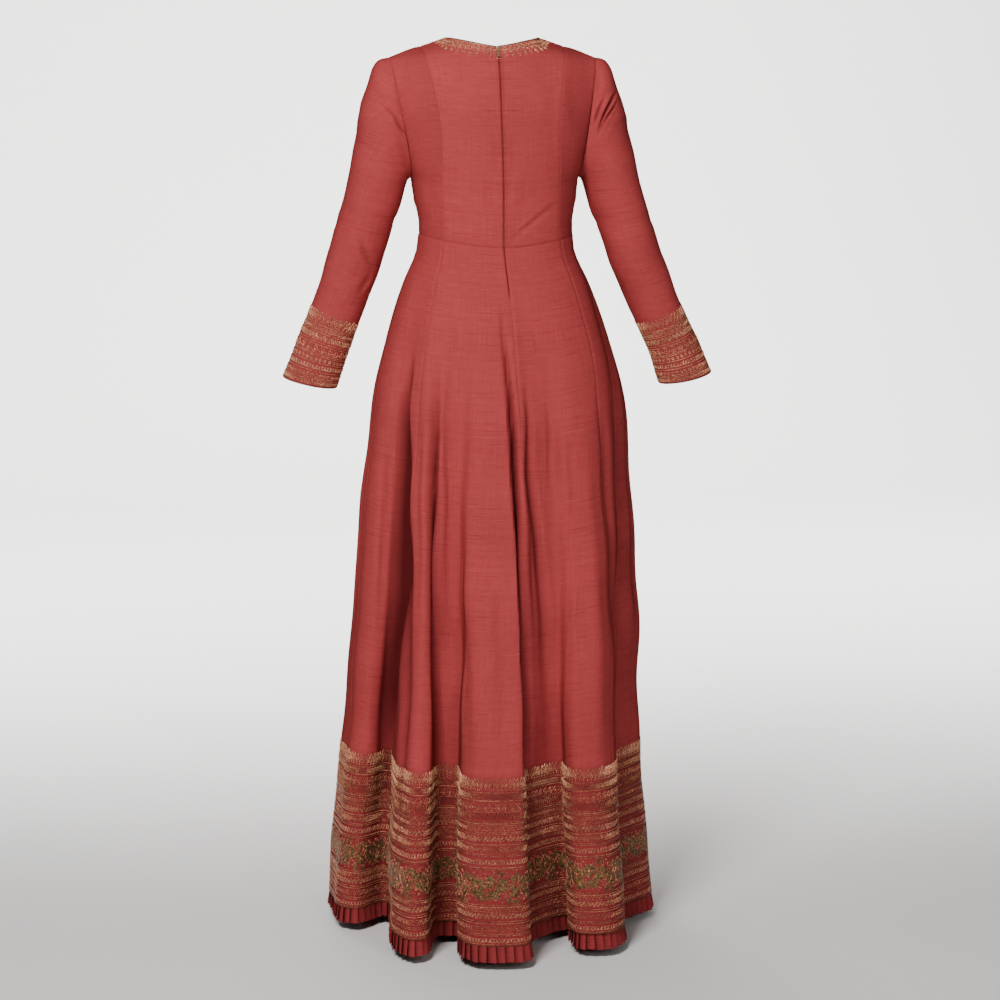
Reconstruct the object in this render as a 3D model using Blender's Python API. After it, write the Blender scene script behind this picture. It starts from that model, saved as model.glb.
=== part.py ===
# Floor-length princess-line kurta (anarkali cut) in raw silk, filled out with no wearer.
# Frame: metres, +Z up. The origin is midway between the two points where the shoulder seams meet the neck.
# The back faces +Y, the front -Y, and +X is the wearer's left. Heights below the shoulders are negative.

import math
from collections import namedtuple

import bmesh
import bpy
from mathutils import Matrix, Vector

# Driving dimensions

MM = 0.001
WALL = 0.0015            # silk with its seam turnings
FRILL_WALL = 0.0012
SEAM = 0.0003            # left open between two pieces
HALF_SEAM = SEAM / 2
NECK_HALF = 0.073        # neck point of the shoulder seam, from the middle
SHOULDER_HALF = 0.163    # shoulder point
SHOULDER_DROP = 0.031
PRINCESS_TOP = 0.113     # where the princess seams meet the shoulder seam
NAPE_BACK = 0.058
NAPE_DROP = 0.015
NAPE_ROUNDING = 1.15     # how the back neckline flattens towards the nape
FRONT_NECK_REACH = 0.090
FRONT_NECK_DROP = 0.085
FRONT_NECK_ROUNDING = 1.2
UNDERARM_HALF = 0.132
UNDERARM_DROP = 0.218
ARMHOLE_HALF_DEPTH = 0.050
WAIST_SIDE = -0.306      # height of the waist seam at the sides
HEM = -1.380
FRILL_END = -1.404
PLEATS = 200             # knife pleats in the frill, all round
PLEAT_DEPTH_TOP = 0.0018
PLEAT_DEPTH_END = 0.0030
PLEAT_STEP = 0.14        # share of a pleat taken by its turned edge
FRILL_SET_BACK = 0.0005
TAPE_WIDTH = 0.011       # each half of the zip's tape
TAPE_WALL = 0.001
SLIDER_WIDTH = 0.0054
SLIDER_LENGTH = 0.009
SLIDER_THICK = 0.0016
PIN_HEIGHT = 0.0015      # hinge above the slider's top
PIN_RADIUS = 0.0005
LUG_THICK = 0.0008
LUG_HALF = 0.001
BARREL_LENGTH = 0.002
BARREL_RADIUS = 0.0012
TAB_LENGTH = 0.019
TAB_HALF = 0.0022        # round end
TAB_NECK_HALF = 0.001
TAB_NECK_END = 0.0026
TAB_THICK = 0.0008
TAB_REST = math.radians(8)   # the tab leans in against the cloth
TAB_END_STEPS = 4
ROD_SIDES = 16

SILK = ("silk", (0.46, 0.078, 0.070), 0.55, 0.0)
FRILL_SILK = ("frill_silk", (0.34, 0.042, 0.038), 0.6, 0.0)
TAPE = ("zip_tape", (0.30, 0.05, 0.045), 0.8, 0.0)
METAL = ("zip_metal", (0.62, 0.45, 0.30), 0.35, 1.0)

# Bodice: a row for each level, in millimetres.
# middle is the centre seam or fold, princess the princess seam, edge the side seam and then the armhole.
# turn is how far the cloth has turned round the side where it ends, and fall how steeply it drops there.

Level = namedtuple("Level", "middle_y middle_z princess_x princess_y princess_z edge_x edge_z turn fall")

BACK = [
    Level(93.5, -325, 92, 68, -314, 122, -306, 90, 0),
    Level(94, -304, 91, 69, -296, 122, -290, 90, 0),
    Level(96, -280, 91, 71, -274, 124, -270, 90, 0),
    Level(99, -250, 91, 74, -249, 128, -249, 90, 0),
    Level(102, -218, 92, 78, -218, 132, -218, 90, 0),
    Level(104, -184, 92, 84, -184, 137.5, -185, 68, 0),
    Level(105, -148, 92, 88, -149, 143.5, -150, 52, 0),
    Level(104, -110, 95, 87, -113, 149, -115, 42, 0.05),
    Level(98, -73, 100, 78, -78, 154.5, -82, 33, 0.15),
    Level(86, -43, 106, 61, -48, 159, -56, 24, 0.28),
    Level(70, -24, 110, 38, -27, 161.5, -40, 12, 0.34),
    Level(58, -15, 113, 0, -14, 163, -31, 0, 0.345),
]

FRONT = [
    Level(96, -325, 83, 77, -314, 122, -306, 90, 0),
    Level(99, -304, 82, 85, -296, 122, -290, 90, 0),
    Level(106, -280, 83, 96, -274, 124, -270, 90, 0),
    Level(118, -250, 86, 112, -249, 128, -249, 90, 0),
    Level(120, -226, 87, 113, -220, 132, -218, 90, 0),
    Level(117, -198, 88, 106, -186, 137.5, -185, 68, 0),
    Level(111, -168, 90, 97, -151, 143.5, -150, 52, 0),
    Level(104, -138, 94, 87, -115, 149, -115, 42, 0.05),
    Level(99, -114, 99, 74, -79, 154.5, -82, 33, 0.15),
    Level(95, -98, 105, 55, -48, 159, -56, 24, 0.28),
    Level(92, -89, 110, 33, -27, 161.5, -40, 12, 0.34),
    Level(90, -85, 113, 0, -14, 163, -31, 0, 0.345),
]

# Sleeve: a row for each ring, in millimetres. outer and inner are its ends in the front view, y its middle,
# depth its half depth and tilt the degrees by which its back edge hangs below its front edge.

Ring = namedtuple("Ring", "outer_x outer_z inner_x inner_z y depth tilt")

SLEEVE = [
    Ring(163, -31, 132, -218, 0, 50, 0),
    Ring(178, -34.5, 135, -219, 0, 52, 0),
    Ring(188, -46, 137.5, -221, 0, 53, 0),
    Ring(196, -68, 139.5, -224.5, 0, 53, 0),
    Ring(208, -104, 141.5, -229.5, -1, 52, 0),
    Ring(215, -147, 144, -237.5, -2, 51, 1),
    Ring(226, -195, 147.5, -250, -3, 50, 2),
    Ring(236, -238, 154, -271, -4, 49, 3),
    Ring(247, -273, 164, -297, -6, 47, 4),
    Ring(266, -334, 185, -361, -10, 44, 6),
    Ring(287, -397, 212, -427, -16, 40, 7),
    Ring(313, -461, 237, -488, -24, 37, 7),
    Ring(344, -532, 258.5, -550, -34, 34, 8),
]
ELBOW = 9                                         # ring from which the two forearms hang differently
FOREARM_SWING = {"left": -0.002, "right": 0.007}  # at the cuff, away from the body
SLEEVE_SIDES = 22

# Skirt outline without its folds: a row for each height, in millimetres.

Section = namedtuple("Section", "height half_width back front")

OUTLINE = [
    Section(-306, 122, 93.5, 96),
    Section(-334, 127, 95, 97),
    Section(-381, 149, 111, 111),
    Section(-443, 172, 130, 128),
    Section(-539, 199, 152, 147),
    Section(-699, 218, 178, 172),
    Section(-895, 234, 208, 202),
    Section(-1093, 244, 244, 240),
    Section(-1291, 261, 284, 280),
    Section(-1404, 270, 304, 300),
]

# Sway of the whole garment towards the wearer's left, by height, in millimetres

Sway = namedtuple("Sway", "height shift")

SWAY = [
    Sway(0, 0),
    Sway(-100, -0.5),
    Sway(-220, -4.5),
    Sway(-334, -6.5),
    Sway(-443, -10),
    Sway(-539, -11.5),
    Sway(-699, -9),
    Sway(-895, -7),
    Sway(-1093, 0),
    Sway(-1291, 3),
    Sway(-1404, 1),
]

# Skirt folds: a row for each ridge and valley, from centre back round by the wearer's left.
# waist is its place on the waist seam, counted in panels; turn its bearing from the back, in degrees,
# where the skirt is still smooth; hem_x and hem_y its place at the hem, in millimetres.

Fold = namedtuple("Fold", "kind waist turn hem_x hem_y")

FOLDS = [
    Fold("ridge", 0.00, -3, -20, 295),
    Fold("ridge", 0.12, 3, 9, 306),
    Fold("ridge", 0.28, 12, 66, 293),
    Fold("ridge", 0.41, 17, 86, 252),
    Fold("valley", 0.52, 22, 77, 151),
    Fold("valley", 0.63, 27, 107, 152),
    Fold("ridge", 0.74, 32, 135, 243),
    Fold("ridge", 0.87, 37, 157, 254),
    Fold("ridge", 1.00, 43, 182, 207),
    Fold("valley", 1.35, 56, 178, 22),
    Fold("ridge", 1.62, 64, 227, 62),
    Fold("ridge", 1.82, 71, 253, 40),
    Fold("ridge", 2.00, 77, 258, -6),
    Fold("ridge", 2.22, 93, 253, -96),
    Fold("valley", 2.42, 107, 190, -104),
    Fold("ridge", 2.62, 120, 217, -172),
    Fold("ridge", 2.81, 131, 181, -219),
    Fold("valley", 3.00, 142, 98, -164),
    Fold("ridge", 3.25, 153, 102, -271),
    Fold("ridge", 3.52, 164, 56, -296),
    Fold("valley", 3.80, 174, 13, -204),
    Fold("ridge", 4.10, 185, -23, -299),
    Fold("ridge", 4.45, 196, -69, -290),
    Fold("valley", 5.00, 208, -69, -169),
    Fold("ridge", 5.12, 220, -156, -243),
    Fold("ridge", 5.24, 231, -197, -201),
    Fold("valley", 5.37, 243, -162, -115),
    Fold("ridge", 5.50, 257, -262, -18),
    Fold("ridge", 5.68, 272, -256, 45),
    Fold("valley", 5.86, 286, -223, 77),
    Fold("valley", 6.00, 299, -171, 135),
    Fold("ridge", 6.50, 308, -187, 180),
    Fold("ridge", 7.00, 316, -180, 222),
    Fold("ridge", 7.19, 324, -151, 255),
    Fold("ridge", 7.36, 332, -106, 249),
    Fold("valley", 7.48, 337, -96, 205),
    Fold("valley", 7.65, 344, -104, 140),
    Fold("valley", 7.87, 352, -36, 200),
]
FOLD_GROWTH = 1.25       # how the folds deepen from the waist to the hem
SETTLING = 7             # how soon the seams leave their places at the waist

# Panels of the skirt, by the places of their seams on the waist
ROUND = 8                # places all the way round, two of them in the front centre panel
SKIRT_PANELS = [
    ("back_centre_left", 0, 1),
    ("back_side_left", 1, 2),
    ("front_side_left", 2, 3),
    ("front_centre", 3, 5),
    ("front_side_right", 5, 6),
    ("back_side_right", 6, 7),
    ("back_centre_right", 7, ROUND),
]

# Rows of a skirt panel, as shares of its length
SKIRT_ROWS = [0, 0.03, 0.07, 0.12, 0.18, 0.26, 0.36, 0.48, 0.61, 0.74, 0.87, 1]
COLUMN_PITCH = 0.030     # widest column of a skirt panel at the hem

# Rows and columns of the bodice panels, in levels of the tables and in places between their key points
TOP_LEVEL = len(BACK) - 1
UNDERARM_LEVEL = 4
NECK_LEVEL = 7           # from here up the rows bend to the neckline
BODICE_ROWS = [0, 1, 2, 3, 4, 5, 6, 7, 8, 9, 9.6, 10.2, 10.7, TOP_LEVEL]
NECK_POINT_PLACE = NECK_HALF / PRINCESS_TOP
CENTRE_PLACES = [0, 0.17, 0.34, 0.5, NECK_POINT_PLACE, 0.82, 1]
SIDE_PLACES = [1, 1.2, 1.4, 1.6, 1.8, 2]
EDGE_PULL = 1.1          # fullness of the cloth as it turns the side
PROBE = 0.01             # step for measuring slopes
RULER_STEPS = 40
MITRE_LIMIT = 0.5
SLIDER_LEVEL = 10.35     # just under the nape
TAPE_SKIRT_ROWS = SKIRT_ROWS[1:3]    # the zip ends at the second of these
TAPE_GAP = 0.0004
UP = Vector((0, 0, 1))
BACKWARD = Vector((0, 1, 0))
LEFT = Vector((1, 0, 0))


def material(look):
    name, colour, roughness, metallic = look
    made = bpy.data.materials.get(name)
    if made is None:
        made = bpy.data.materials.new(name)
        made.use_nodes = True
        shader = made.node_tree.nodes["Principled BSDF"]
        shader.inputs["Base Color"].default_value = (*colour, 1.0)
        shader.inputs["Roughness"].default_value = roughness
        shader.inputs["Metallic"].default_value = metallic
        made.diffuse_color = (*colour, 1.0)
    return made


def add_object(name, bm, look, collection, smooth=40):
    bmesh.ops.recalc_face_normals(bm, faces=bm.faces)
    mesh = bpy.data.meshes.new(name)
    bm.to_mesh(mesh)
    bm.free()
    mesh.materials.append(material(look))
    mesh.shade_smooth()
    mesh.set_sharp_from_angle(angle=math.radians(smooth))
    made = bpy.data.objects.new(name, mesh)
    collection.objects.link(made)
    return made


def swayed(point):
    heights = column_of(SWAY, "height")[::-1]
    shifts = column_of(SWAY, "shift")[::-1]
    return Vector((point.x + smooth_read(heights, shifts, point.z / MM) * MM, point.y, point.z))


def wall(name, outer, inner, look, collection, tube=False):
    """A closed wall between two grids of points, or round a tube."""
    outer, inner = [[[swayed(point) for point in row] for row in grid] for grid in (outer, inner)]
    bm = bmesh.new()
    outer_skin = [[bm.verts.new(point) for point in row] for row in outer]
    inner_skin = [[bm.verts.new(point) for point in row] for row in inner]
    rows = len(outer)
    columns = len(outer[0])
    spans = columns if tube else columns - 1
    for j in range(rows - 1):
        for i in range(spans):
            k = (i + 1) % columns
            bm.faces.new([outer_skin[j][i], outer_skin[j][k], outer_skin[j + 1][k], outer_skin[j + 1][i]])
            bm.faces.new([inner_skin[j][i], inner_skin[j + 1][i], inner_skin[j + 1][k], inner_skin[j][k]])
    for j in (0, rows - 1):
        for i in range(spans):
            k = (i + 1) % columns
            bm.faces.new([outer_skin[j][i], inner_skin[j][i], inner_skin[j][k], outer_skin[j][k]])
    if not tube:
        for i in (0, columns - 1):
            for j in range(rows - 1):
                bm.faces.new([outer_skin[j][i], outer_skin[j + 1][i], inner_skin[j + 1][i], inner_skin[j][i]])
    return add_object(name, bm, look, collection)


def flattened(direction, plane_normal):
    """The part of a direction that lies in a plane, at length one."""
    return (direction - plane_normal * direction.dot(plane_normal)).normalized()


def hermite(start, start_pull, end, end_pull, share):
    squared = share * share
    cubed = squared * share
    return (
        start * (2 * cubed - 3 * squared + 1)
        + start_pull * (cubed - 2 * squared + share)
        + end * (3 * squared - 2 * cubed)
        + end_pull * (cubed - squared)
    )


def smooth_read(xs, ys, x):
    """Value at x of a smooth curve through a table, straight beyond its ends."""
    last = len(xs) - 1
    slopes = [(ys[k + 1] - ys[k]) / (xs[k + 1] - xs[k]) for k in range(last)]
    pulls = [slopes[0]] + [0.5 * (slopes[k - 1] + slopes[k]) for k in range(1, last)] + [slopes[-1]]
    if x <= xs[0]:
        return ys[0] + (x - xs[0]) * pulls[0]
    if x >= xs[-1]:
        return ys[-1] + (x - xs[-1]) * pulls[-1]
    k = max(i for i in range(last) if xs[i] <= x)
    width = xs[k + 1] - xs[k]
    return hermite(ys[k], pulls[k] * width, ys[k + 1], pulls[k + 1] * width, (x - xs[k]) / width)


def column_of(table, field):
    return [getattr(row, field) for row in table]


# Bodice

def level_value(table, field, level):
    values = column_of(table, field)
    return smooth_read(list(range(len(values))), values, level)


def armhole_point(height):
    """The armhole is an oval on a leaning plane: x from the middle and half depth where it meets a height."""
    lean = (-SHOULDER_DROP - height) / (UNDERARM_DROP - SHOULDER_DROP)
    x = SHOULDER_HALF - (SHOULDER_HALF - UNDERARM_HALF) * lean
    share = min(1, max(-1, 2 * lean - 1))
    return x, ARMHOLE_HALF_DEPTH * math.sqrt(1 - share * share)


def key_points(table, side, level):
    """Middle, princess and edge points of a level, with the direction of the cloth at the edge."""
    middle = Vector((0, side * level_value(table, "middle_y", level), level_value(table, "middle_z", level)))
    princess = Vector((
        level_value(table, "princess_x", level),
        side * level_value(table, "princess_y", level),
        level_value(table, "princess_z", level),
    ))
    edge_z = level_value(table, "edge_z", level) * MM
    if level <= UNDERARM_LEVEL:
        edge = Vector((level_value(table, "edge_x", level) * MM, 0, edge_z))
    else:
        x, depth = armhole_point(edge_z)
        edge = Vector((x, side * depth, edge_z))
    turn = math.radians(level_value(table, "turn", level))
    pull = Vector((math.cos(turn), -side * math.sin(turn), -level_value(table, "fall", level))).normalized()
    return middle * MM, princess * MM, edge, pull


def neckline_point(side, share):
    """Top edge of a centre panel: neckline from the middle to the neck point, then shoulder seam."""
    x = share * PRINCESS_TOP
    if x >= NECK_HALF:
        return Vector((x, 0, -SHOULDER_DROP * (x - NECK_HALF) / (SHOULDER_HALF - NECK_HALF)))
    across = x / NECK_HALF
    rounding = math.sqrt(1 - across * across)
    if side > 0:
        return Vector((x, NAPE_BACK * rounding, -NAPE_DROP * (1 - across ** NAPE_ROUNDING)))
    return Vector((x, -FRONT_NECK_REACH * rounding ** FRONT_NECK_ROUNDING, -FRONT_NECK_DROP * rounding))


def row_pulls(middle, princess, edge):
    """Spacing of the key points of a row, and the direction of the cloth at the princess seam."""
    inner_gap = (princess - middle).length
    outer_gap = (edge - princess).length
    slope = (princess - middle) * (outer_gap / inner_gap) + (edge - princess) * (inner_gap / outer_gap)
    return inner_gap, outer_gap, slope.normalized()


def centre_row_point(table, side, place, level):
    middle, princess, edge, _ = key_points(table, side, level)
    inner_gap, _, slope = row_pulls(middle, princess, edge)
    return hermite(middle, Vector((inner_gap, 0, 0)), princess, slope * inner_gap, place)


def bodice_point(table, side, place, level):
    """A point of the half bodice on +X. place is 0 at the middle, 1 at the princess seam, 2 at the edge."""
    if place > 1:
        middle, princess, edge, pull = key_points(table, side, level)
        _, outer_gap, slope = row_pulls(middle, princess, edge)
        return hermite(princess, slope * outer_gap, edge, pull * outer_gap * EDGE_PULL, place - 1)
    point = centre_row_point(table, side, place, level)
    rise = max(0, (level - NECK_LEVEL) / (TOP_LEVEL - NECK_LEVEL)) ** 2
    if rise > 0:
        shift = neckline_point(side, place) - centre_row_point(table, side, place, TOP_LEVEL)
        point = point + shift * rise
    return point


def bodice_slopes(table, side, place, level):
    """Directions of the cloth across and up, and outward."""
    low = min(max(place - PROBE, 0), 2 - 2 * PROBE)
    across = bodice_point(table, side, low + 2 * PROBE, level) - bodice_point(table, side, low, level)
    bottom = min(max(level - PROBE, 0), TOP_LEVEL - 2 * PROBE)
    up = bodice_point(table, side, place, bottom + 2 * PROBE) - bodice_point(table, side, place, bottom)
    return across.normalized(), (up.cross(across) * side).normalized()


def bodice_panel(name, table, side, hand, places, collection):
    """One cut piece. hand is 1 for the wearer's left, -1 for the right, 0 for a piece across the middle."""
    spots = [abs(place) for place in places]
    outer = []
    inner = []
    for level in reversed(BODICE_ROWS):
        outer_row = []
        inner_row = []
        for place in places:
            spot = abs(place)
            mirror = hand or (1 if place >= 0 else -1)
            point = bodice_point(table, side, spot, level)
            across, normal = bodice_slopes(table, side, spot, level)
            if level == 0:
                normal = flattened(normal, UP)
                point.z += HALF_SEAM
            if level == TOP_LEVEL and spot >= NECK_POINT_PLACE:
                normal = flattened(normal, BACKWARD)
                point.y = side * HALF_SEAM
            if spot == 0:
                normal = flattened(normal, LEFT)
            if hand and spot == min(spots):
                point += across * HALF_SEAM
            if spot == max(spots) and (spot == 1 or level <= UNDERARM_LEVEL):
                point -= across * HALF_SEAM
            inside = point - normal * WALL
            outer_row.append(Vector((point.x * mirror, point.y, point.z)))
            inner_row.append(Vector((inside.x * mirror, inside.y, inside.z)))
        outer.append(outer_row)
        inner.append(inner_row)
    return wall(name, outer, inner, SILK, collection)


def make_bodice(collection):
    mirrored = [-place for place in reversed(CENTRE_PLACES[1:])]
    bodice_panel("bodice_front_centre", FRONT, -1, 0, mirrored + CENTRE_PLACES, collection)
    for hand, word in ((1, "left"), (-1, "right")):
        bodice_panel("bodice_back_centre_" + word, BACK, 1, hand, CENTRE_PLACES, collection)
        bodice_panel("bodice_back_side_" + word, BACK, 1, hand, SIDE_PLACES, collection)
        bodice_panel("bodice_front_side_" + word, FRONT, -1, hand, SIDE_PLACES, collection)


# Sleeves

def sleeve_ring(index, word):
    """Middle of a ring and its two half axes, across the arm and from front to back."""
    ring = SLEEVE[index]
    outer = Vector((ring.outer_x, 0, ring.outer_z)) * MM
    inner = Vector((ring.inner_x, 0, ring.inner_z)) * MM
    middle = (outer + inner) / 2
    middle.y = ring.y * MM
    if index > ELBOW:
        middle.x += FOREARM_SWING[word] * (index - ELBOW) / (len(SLEEVE) - 1 - ELBOW)
    tilt = math.radians(ring.tilt)
    depth = Vector((0, math.cos(tilt), -math.sin(tilt))) * ring.depth * MM
    return middle, (outer - inner) / 2, depth


def make_sleeve(word, collection):
    mirror = 1 if word == "left" else -1
    rings = [sleeve_ring(index, word) for index in range(len(SLEEVE))]
    plane = rings[0][1].cross(rings[0][2]).normalized()
    if plane.x < 0:
        plane.negate()
    angles = [2 * math.pi * k / SLEEVE_SIDES for k in range(SLEEVE_SIDES)]
    outer = [
        [middle + across * math.cos(angle) + depth * math.sin(angle) for angle in angles]
        for middle, across, depth in rings
    ]
    outer[0] = [point + plane * SEAM for point in outer[0]]
    last = len(outer) - 1
    inner = []
    for j, row in enumerate(outer):
        above = outer[max(j - 1, 0)]
        below = outer[min(j + 1, last)]
        ring_plane = rings[j][1].cross(rings[j][2]).normalized()
        inner_row = []
        for i, point in enumerate(row):
            around = row[(i + 1) % SLEEVE_SIDES] - row[i - 1]
            normal = around.cross(below[i] - above[i]).normalized()
            if normal.dot(point - rings[j][0]) < 0:
                normal.negate()
            if j in (0, last):
                normal = flattened(normal, ring_plane)
            inner_row.append(point - normal * WALL)
        inner.append(inner_row)
    for grid in (outer, inner):
        for row in grid:
            for point in row:
                point.x *= mirror
    return wall("sleeve_" + word, outer, inner, SILK, collection, tube=True)


# Skirt

def outline_at(height, field):
    heights = column_of(OUTLINE, "height")[::-1]
    values = column_of(OUTLINE, field)[::-1]
    return smooth_read(heights, values, height / MM) * MM


def waist_point(place):
    """The bodice's lower edge at a place counted in panels, from centre back round by the wearer's left."""
    place = place % ROUND
    half = ROUND / 2
    mirror = 1 if place <= half else -1
    spot = min(place, ROUND - place)
    if spot <= half / 2:
        point = bodice_point(BACK, 1, spot, 0)
    else:
        point = bodice_point(FRONT, -1, half - spot, 0)
    return Vector((point.x * mirror, point.y, point.z))


def fold_point(fold, drop):
    """Place of a ridge or valley at a drop from 0 at the waist to 1 at the frill's lower edge."""
    start = WAIST_POINTS[fold]
    height = start.z + drop * (FRILL_END - start.z)
    half_width = outline_at(height, "half_width")
    back = outline_at(height, "back")
    front = outline_at(height, "front")
    turn = math.radians(fold.turn)
    facing = back if math.cos(turn) > 0 else front
    smooth = Vector((half_width * math.sin(turn), facing * math.cos(turn), height))
    widened = half_width / (OUTLINE[0].half_width * MM)
    deepened = back / (OUTLINE[0].back * MM) if start.y > 0 else front / (OUTLINE[0].front * MM)
    near_waist = Vector((start.x * widened, start.y * deepened, height))
    settled = 1 - (1 - drop) ** SETTLING
    smooth = near_waist.lerp(smooth, settled)
    last = OUTLINE[-1]
    hem_depth = back / last.back if fold.hem_y > 0 else front / last.front
    folded = Vector((fold.hem_x * half_width / last.half_width, fold.hem_y * hem_depth, height))
    return smooth.lerp(folded, max(drop, 0) ** FOLD_GROWTH)


def spline_point(points, column):
    """A point on the closed smooth curve through the points, evenly paced by their spacing."""
    count = len(points)
    k = math.floor(column)
    share = column - k
    p0, p1, p2, p3 = [points[(k + shift) % count] for shift in (-1, 0, 1, 2)]
    d0, d1, d2 = [max((b - a).length, 1e-6) ** 0.5 for a, b in ((p0, p1), (p1, p2), (p2, p3))]
    pull1 = (p1 - p0) / d0 - (p2 - p0) / (d0 + d1) + (p2 - p1) / d1
    pull2 = (p2 - p1) / d1 - (p3 - p1) / (d1 + d2) + (p3 - p2) / d2
    return hermite(p1, pull1 * d1, p2, pull2 * d1, share)


def skirt_row(drop):
    return [fold_point(fold, drop) for fold in FOLDS]


def skirt_normals(drop, columns):
    """Outward directions of the skirt's cloth at some columns of a row."""
    here = skirt_row(drop)
    above = skirt_row(drop - PROBE)
    below = skirt_row(drop + PROBE)
    normals = []
    for column in columns:
        around = spline_point(here, column + PROBE) - spline_point(here, column - PROBE)
        down = spline_point(below, column) - spline_point(above, column)
        normals.append(around.cross(down).normalized())
    return normals


def fold_column(place):
    """Column of the fold that lies on a seam."""
    if place == ROUND:
        return len(FOLDS)
    return column_of(FOLDS, "waist").index(place)


def panel_columns(first, last, pitch):
    """Columns of a panel: each stretch between folds is cut so that none is wider than the pitch at the hem."""
    hem = skirt_row(1)
    columns = []
    for k in range(first, last):
        length = (hem[(k + 1) % len(hem)] - hem[k % len(hem)]).length
        cuts = max(2, math.ceil(length / pitch))
        columns += [k + cut / cuts for cut in range(cuts)]
    return columns + [last]


def hem_drop():
    return (HEM - WAIST_SIDE) / (FRILL_END - WAIST_SIDE)


def skirt_panel(name, first_place, last_place, collection):
    first = fold_column(first_place)
    last = fold_column(last_place)
    columns = panel_columns(first, last, COLUMN_PITCH)
    outer = []
    inner = []
    for row in SKIRT_ROWS:
        drop = row * hem_drop()
        points = skirt_row(drop)
        normals = skirt_normals(drop, columns)
        outer_row = []
        inner_row = []
        for column, normal in zip(columns, normals):
            point = spline_point(points, column)
            around = (spline_point(points, column + PROBE) - spline_point(points, column - PROBE)).normalized()
            if column == columns[0]:
                point += around * HALF_SEAM
            if column == columns[-1]:
                point -= around * HALF_SEAM
            if row == 0:
                point.z -= HALF_SEAM
            if row == 1:
                point.z = HEM + HALF_SEAM
            if row in (0, 1):
                normal = flattened(normal, UP)
            outer_row.append(point)
            inner_row.append(point - normal * WALL)
        outer.append(outer_row)
        inner.append(inner_row)
    return wall("skirt_" + name, outer, inner, SILK, collection)


# Frill

def hem_ruler():
    """Columns round the hem with the length run to each."""
    points = skirt_row(hem_drop())
    steps = len(FOLDS) * RULER_STEPS
    run = 0
    ruler = [(0, 0)]
    last = spline_point(points, 0)
    for k in range(1, steps + 1):
        here = spline_point(points, k / RULER_STEPS)
        run += (here - last).length
        ruler.append((k / RULER_STEPS, run))
        last = here
    return ruler


def column_at(ruler, run):
    for (column, start), (next_column, end) in zip(ruler, ruler[1:]):
        if run <= end:
            return column + (next_column - column) * (run - start) / (end - start)
    return ruler[-1][0]


def offset_line(points, ends, distance):
    """A level line of points moved sideways by a wall's thickness, mitred at its corners."""
    moved = []
    last = len(points) - 1
    for i, point in enumerate(points):
        if i in (0, last):
            moved.append(point - ends[0 if i == 0 else 1] * distance)
            continue
        before = (point - points[i - 1]).cross(UP).normalized()
        after = (points[i + 1] - point).cross(UP).normalized()
        mitre = (before + after).normalized()
        moved.append(point + mitre * distance / max(mitre.dot(before), MITRE_LIMIT))
    return moved


def frill_line(drop, columns, depths):
    """Outer line of the pleats at a drop, and the outward directions of its two ends."""
    points = skirt_row(drop)
    line = []
    outward = []
    for column, depth in zip(columns, depths):
        around = spline_point(points, column + PROBE) - spline_point(points, column - PROBE)
        normal = Vector((-around.y, around.x, 0)).normalized()
        outward.append(normal)
        line.append(spline_point(points, column) + normal * (-FRILL_SET_BACK - depth))
    return line, (outward[0], outward[-1])


def make_frill(name, first_place, last_place, ruler, collection):
    runs = dict(ruler)
    start = runs[fold_column(first_place)]
    end = runs[fold_column(last_place)]
    pleats = round(PLEATS * (end - start) / ruler[-1][1])
    pitch = (end - start) / pleats
    columns = []
    shares = []
    for pleat in range(pleats):
        for share, depth in ((0, 1), (1 - PLEAT_STEP, 0)):
            columns.append(column_at(ruler, start + (pleat + share) * pitch))
            shares.append(depth)
    columns.append(column_at(ruler, end))
    shares.append(1)
    columns[0] = column_at(ruler, start + HALF_SEAM)
    columns[-1] = column_at(ruler, end - HALF_SEAM)
    outer = []
    inner = []
    seam_drop = hem_drop() + HALF_SEAM / (WAIST_SIDE - FRILL_END)
    for drop, depth in ((seam_drop, PLEAT_DEPTH_TOP), (1, PLEAT_DEPTH_END)):
        line, ends = frill_line(drop, columns, [share * depth for share in shares])
        for point in line:
            point.z = HEM - HALF_SEAM if drop < 1 else FRILL_END
        outer.append(line)
        inner.append(offset_line(line, ends, FRILL_WALL))
    return wall("frill_" + name, outer, inner, FRILL_SILK, collection)


# Zip: two tapes behind the centre back seam, and the slider and pull tab at its top

def beside_zip(hand, level=None, row=None):
    """Points and outward directions of the cloth beside the centre back, at a bodice level or a skirt row."""
    if level is not None:
        found = []
        for place in CENTRE_PLACES[:3]:
            point = bodice_point(BACK, 1, place, level)
            _, normal = bodice_slopes(BACK, 1, place, level)
            found.append((Vector((point.x * hand, point.y, point.z)), Vector((normal.x * hand, normal.y, normal.z))))
        return found
    drop = row * hem_drop()
    first = 0 if hand > 0 else fold_column(ROUND - 1)
    last = 1 if hand > 0 else fold_column(ROUND)
    columns = panel_columns(first, last, COLUMN_PITCH)
    if hand < 0:
        columns = columns[::-1]
    points = skirt_row(drop)
    return list(zip([spline_point(points, column) for column in columns], skirt_normals(drop, columns)))


def step_along(line, distance):
    """Point and direction at a distance along a line of them."""
    for (start, start_normal), (end, end_normal) in zip(line, line[1:]):
        length = (end - start).length
        if distance <= length:
            share = distance / length
            return start.lerp(end, share), start_normal.lerp(end_normal, share).normalized()
        distance -= length
    return line[-1]


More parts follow.
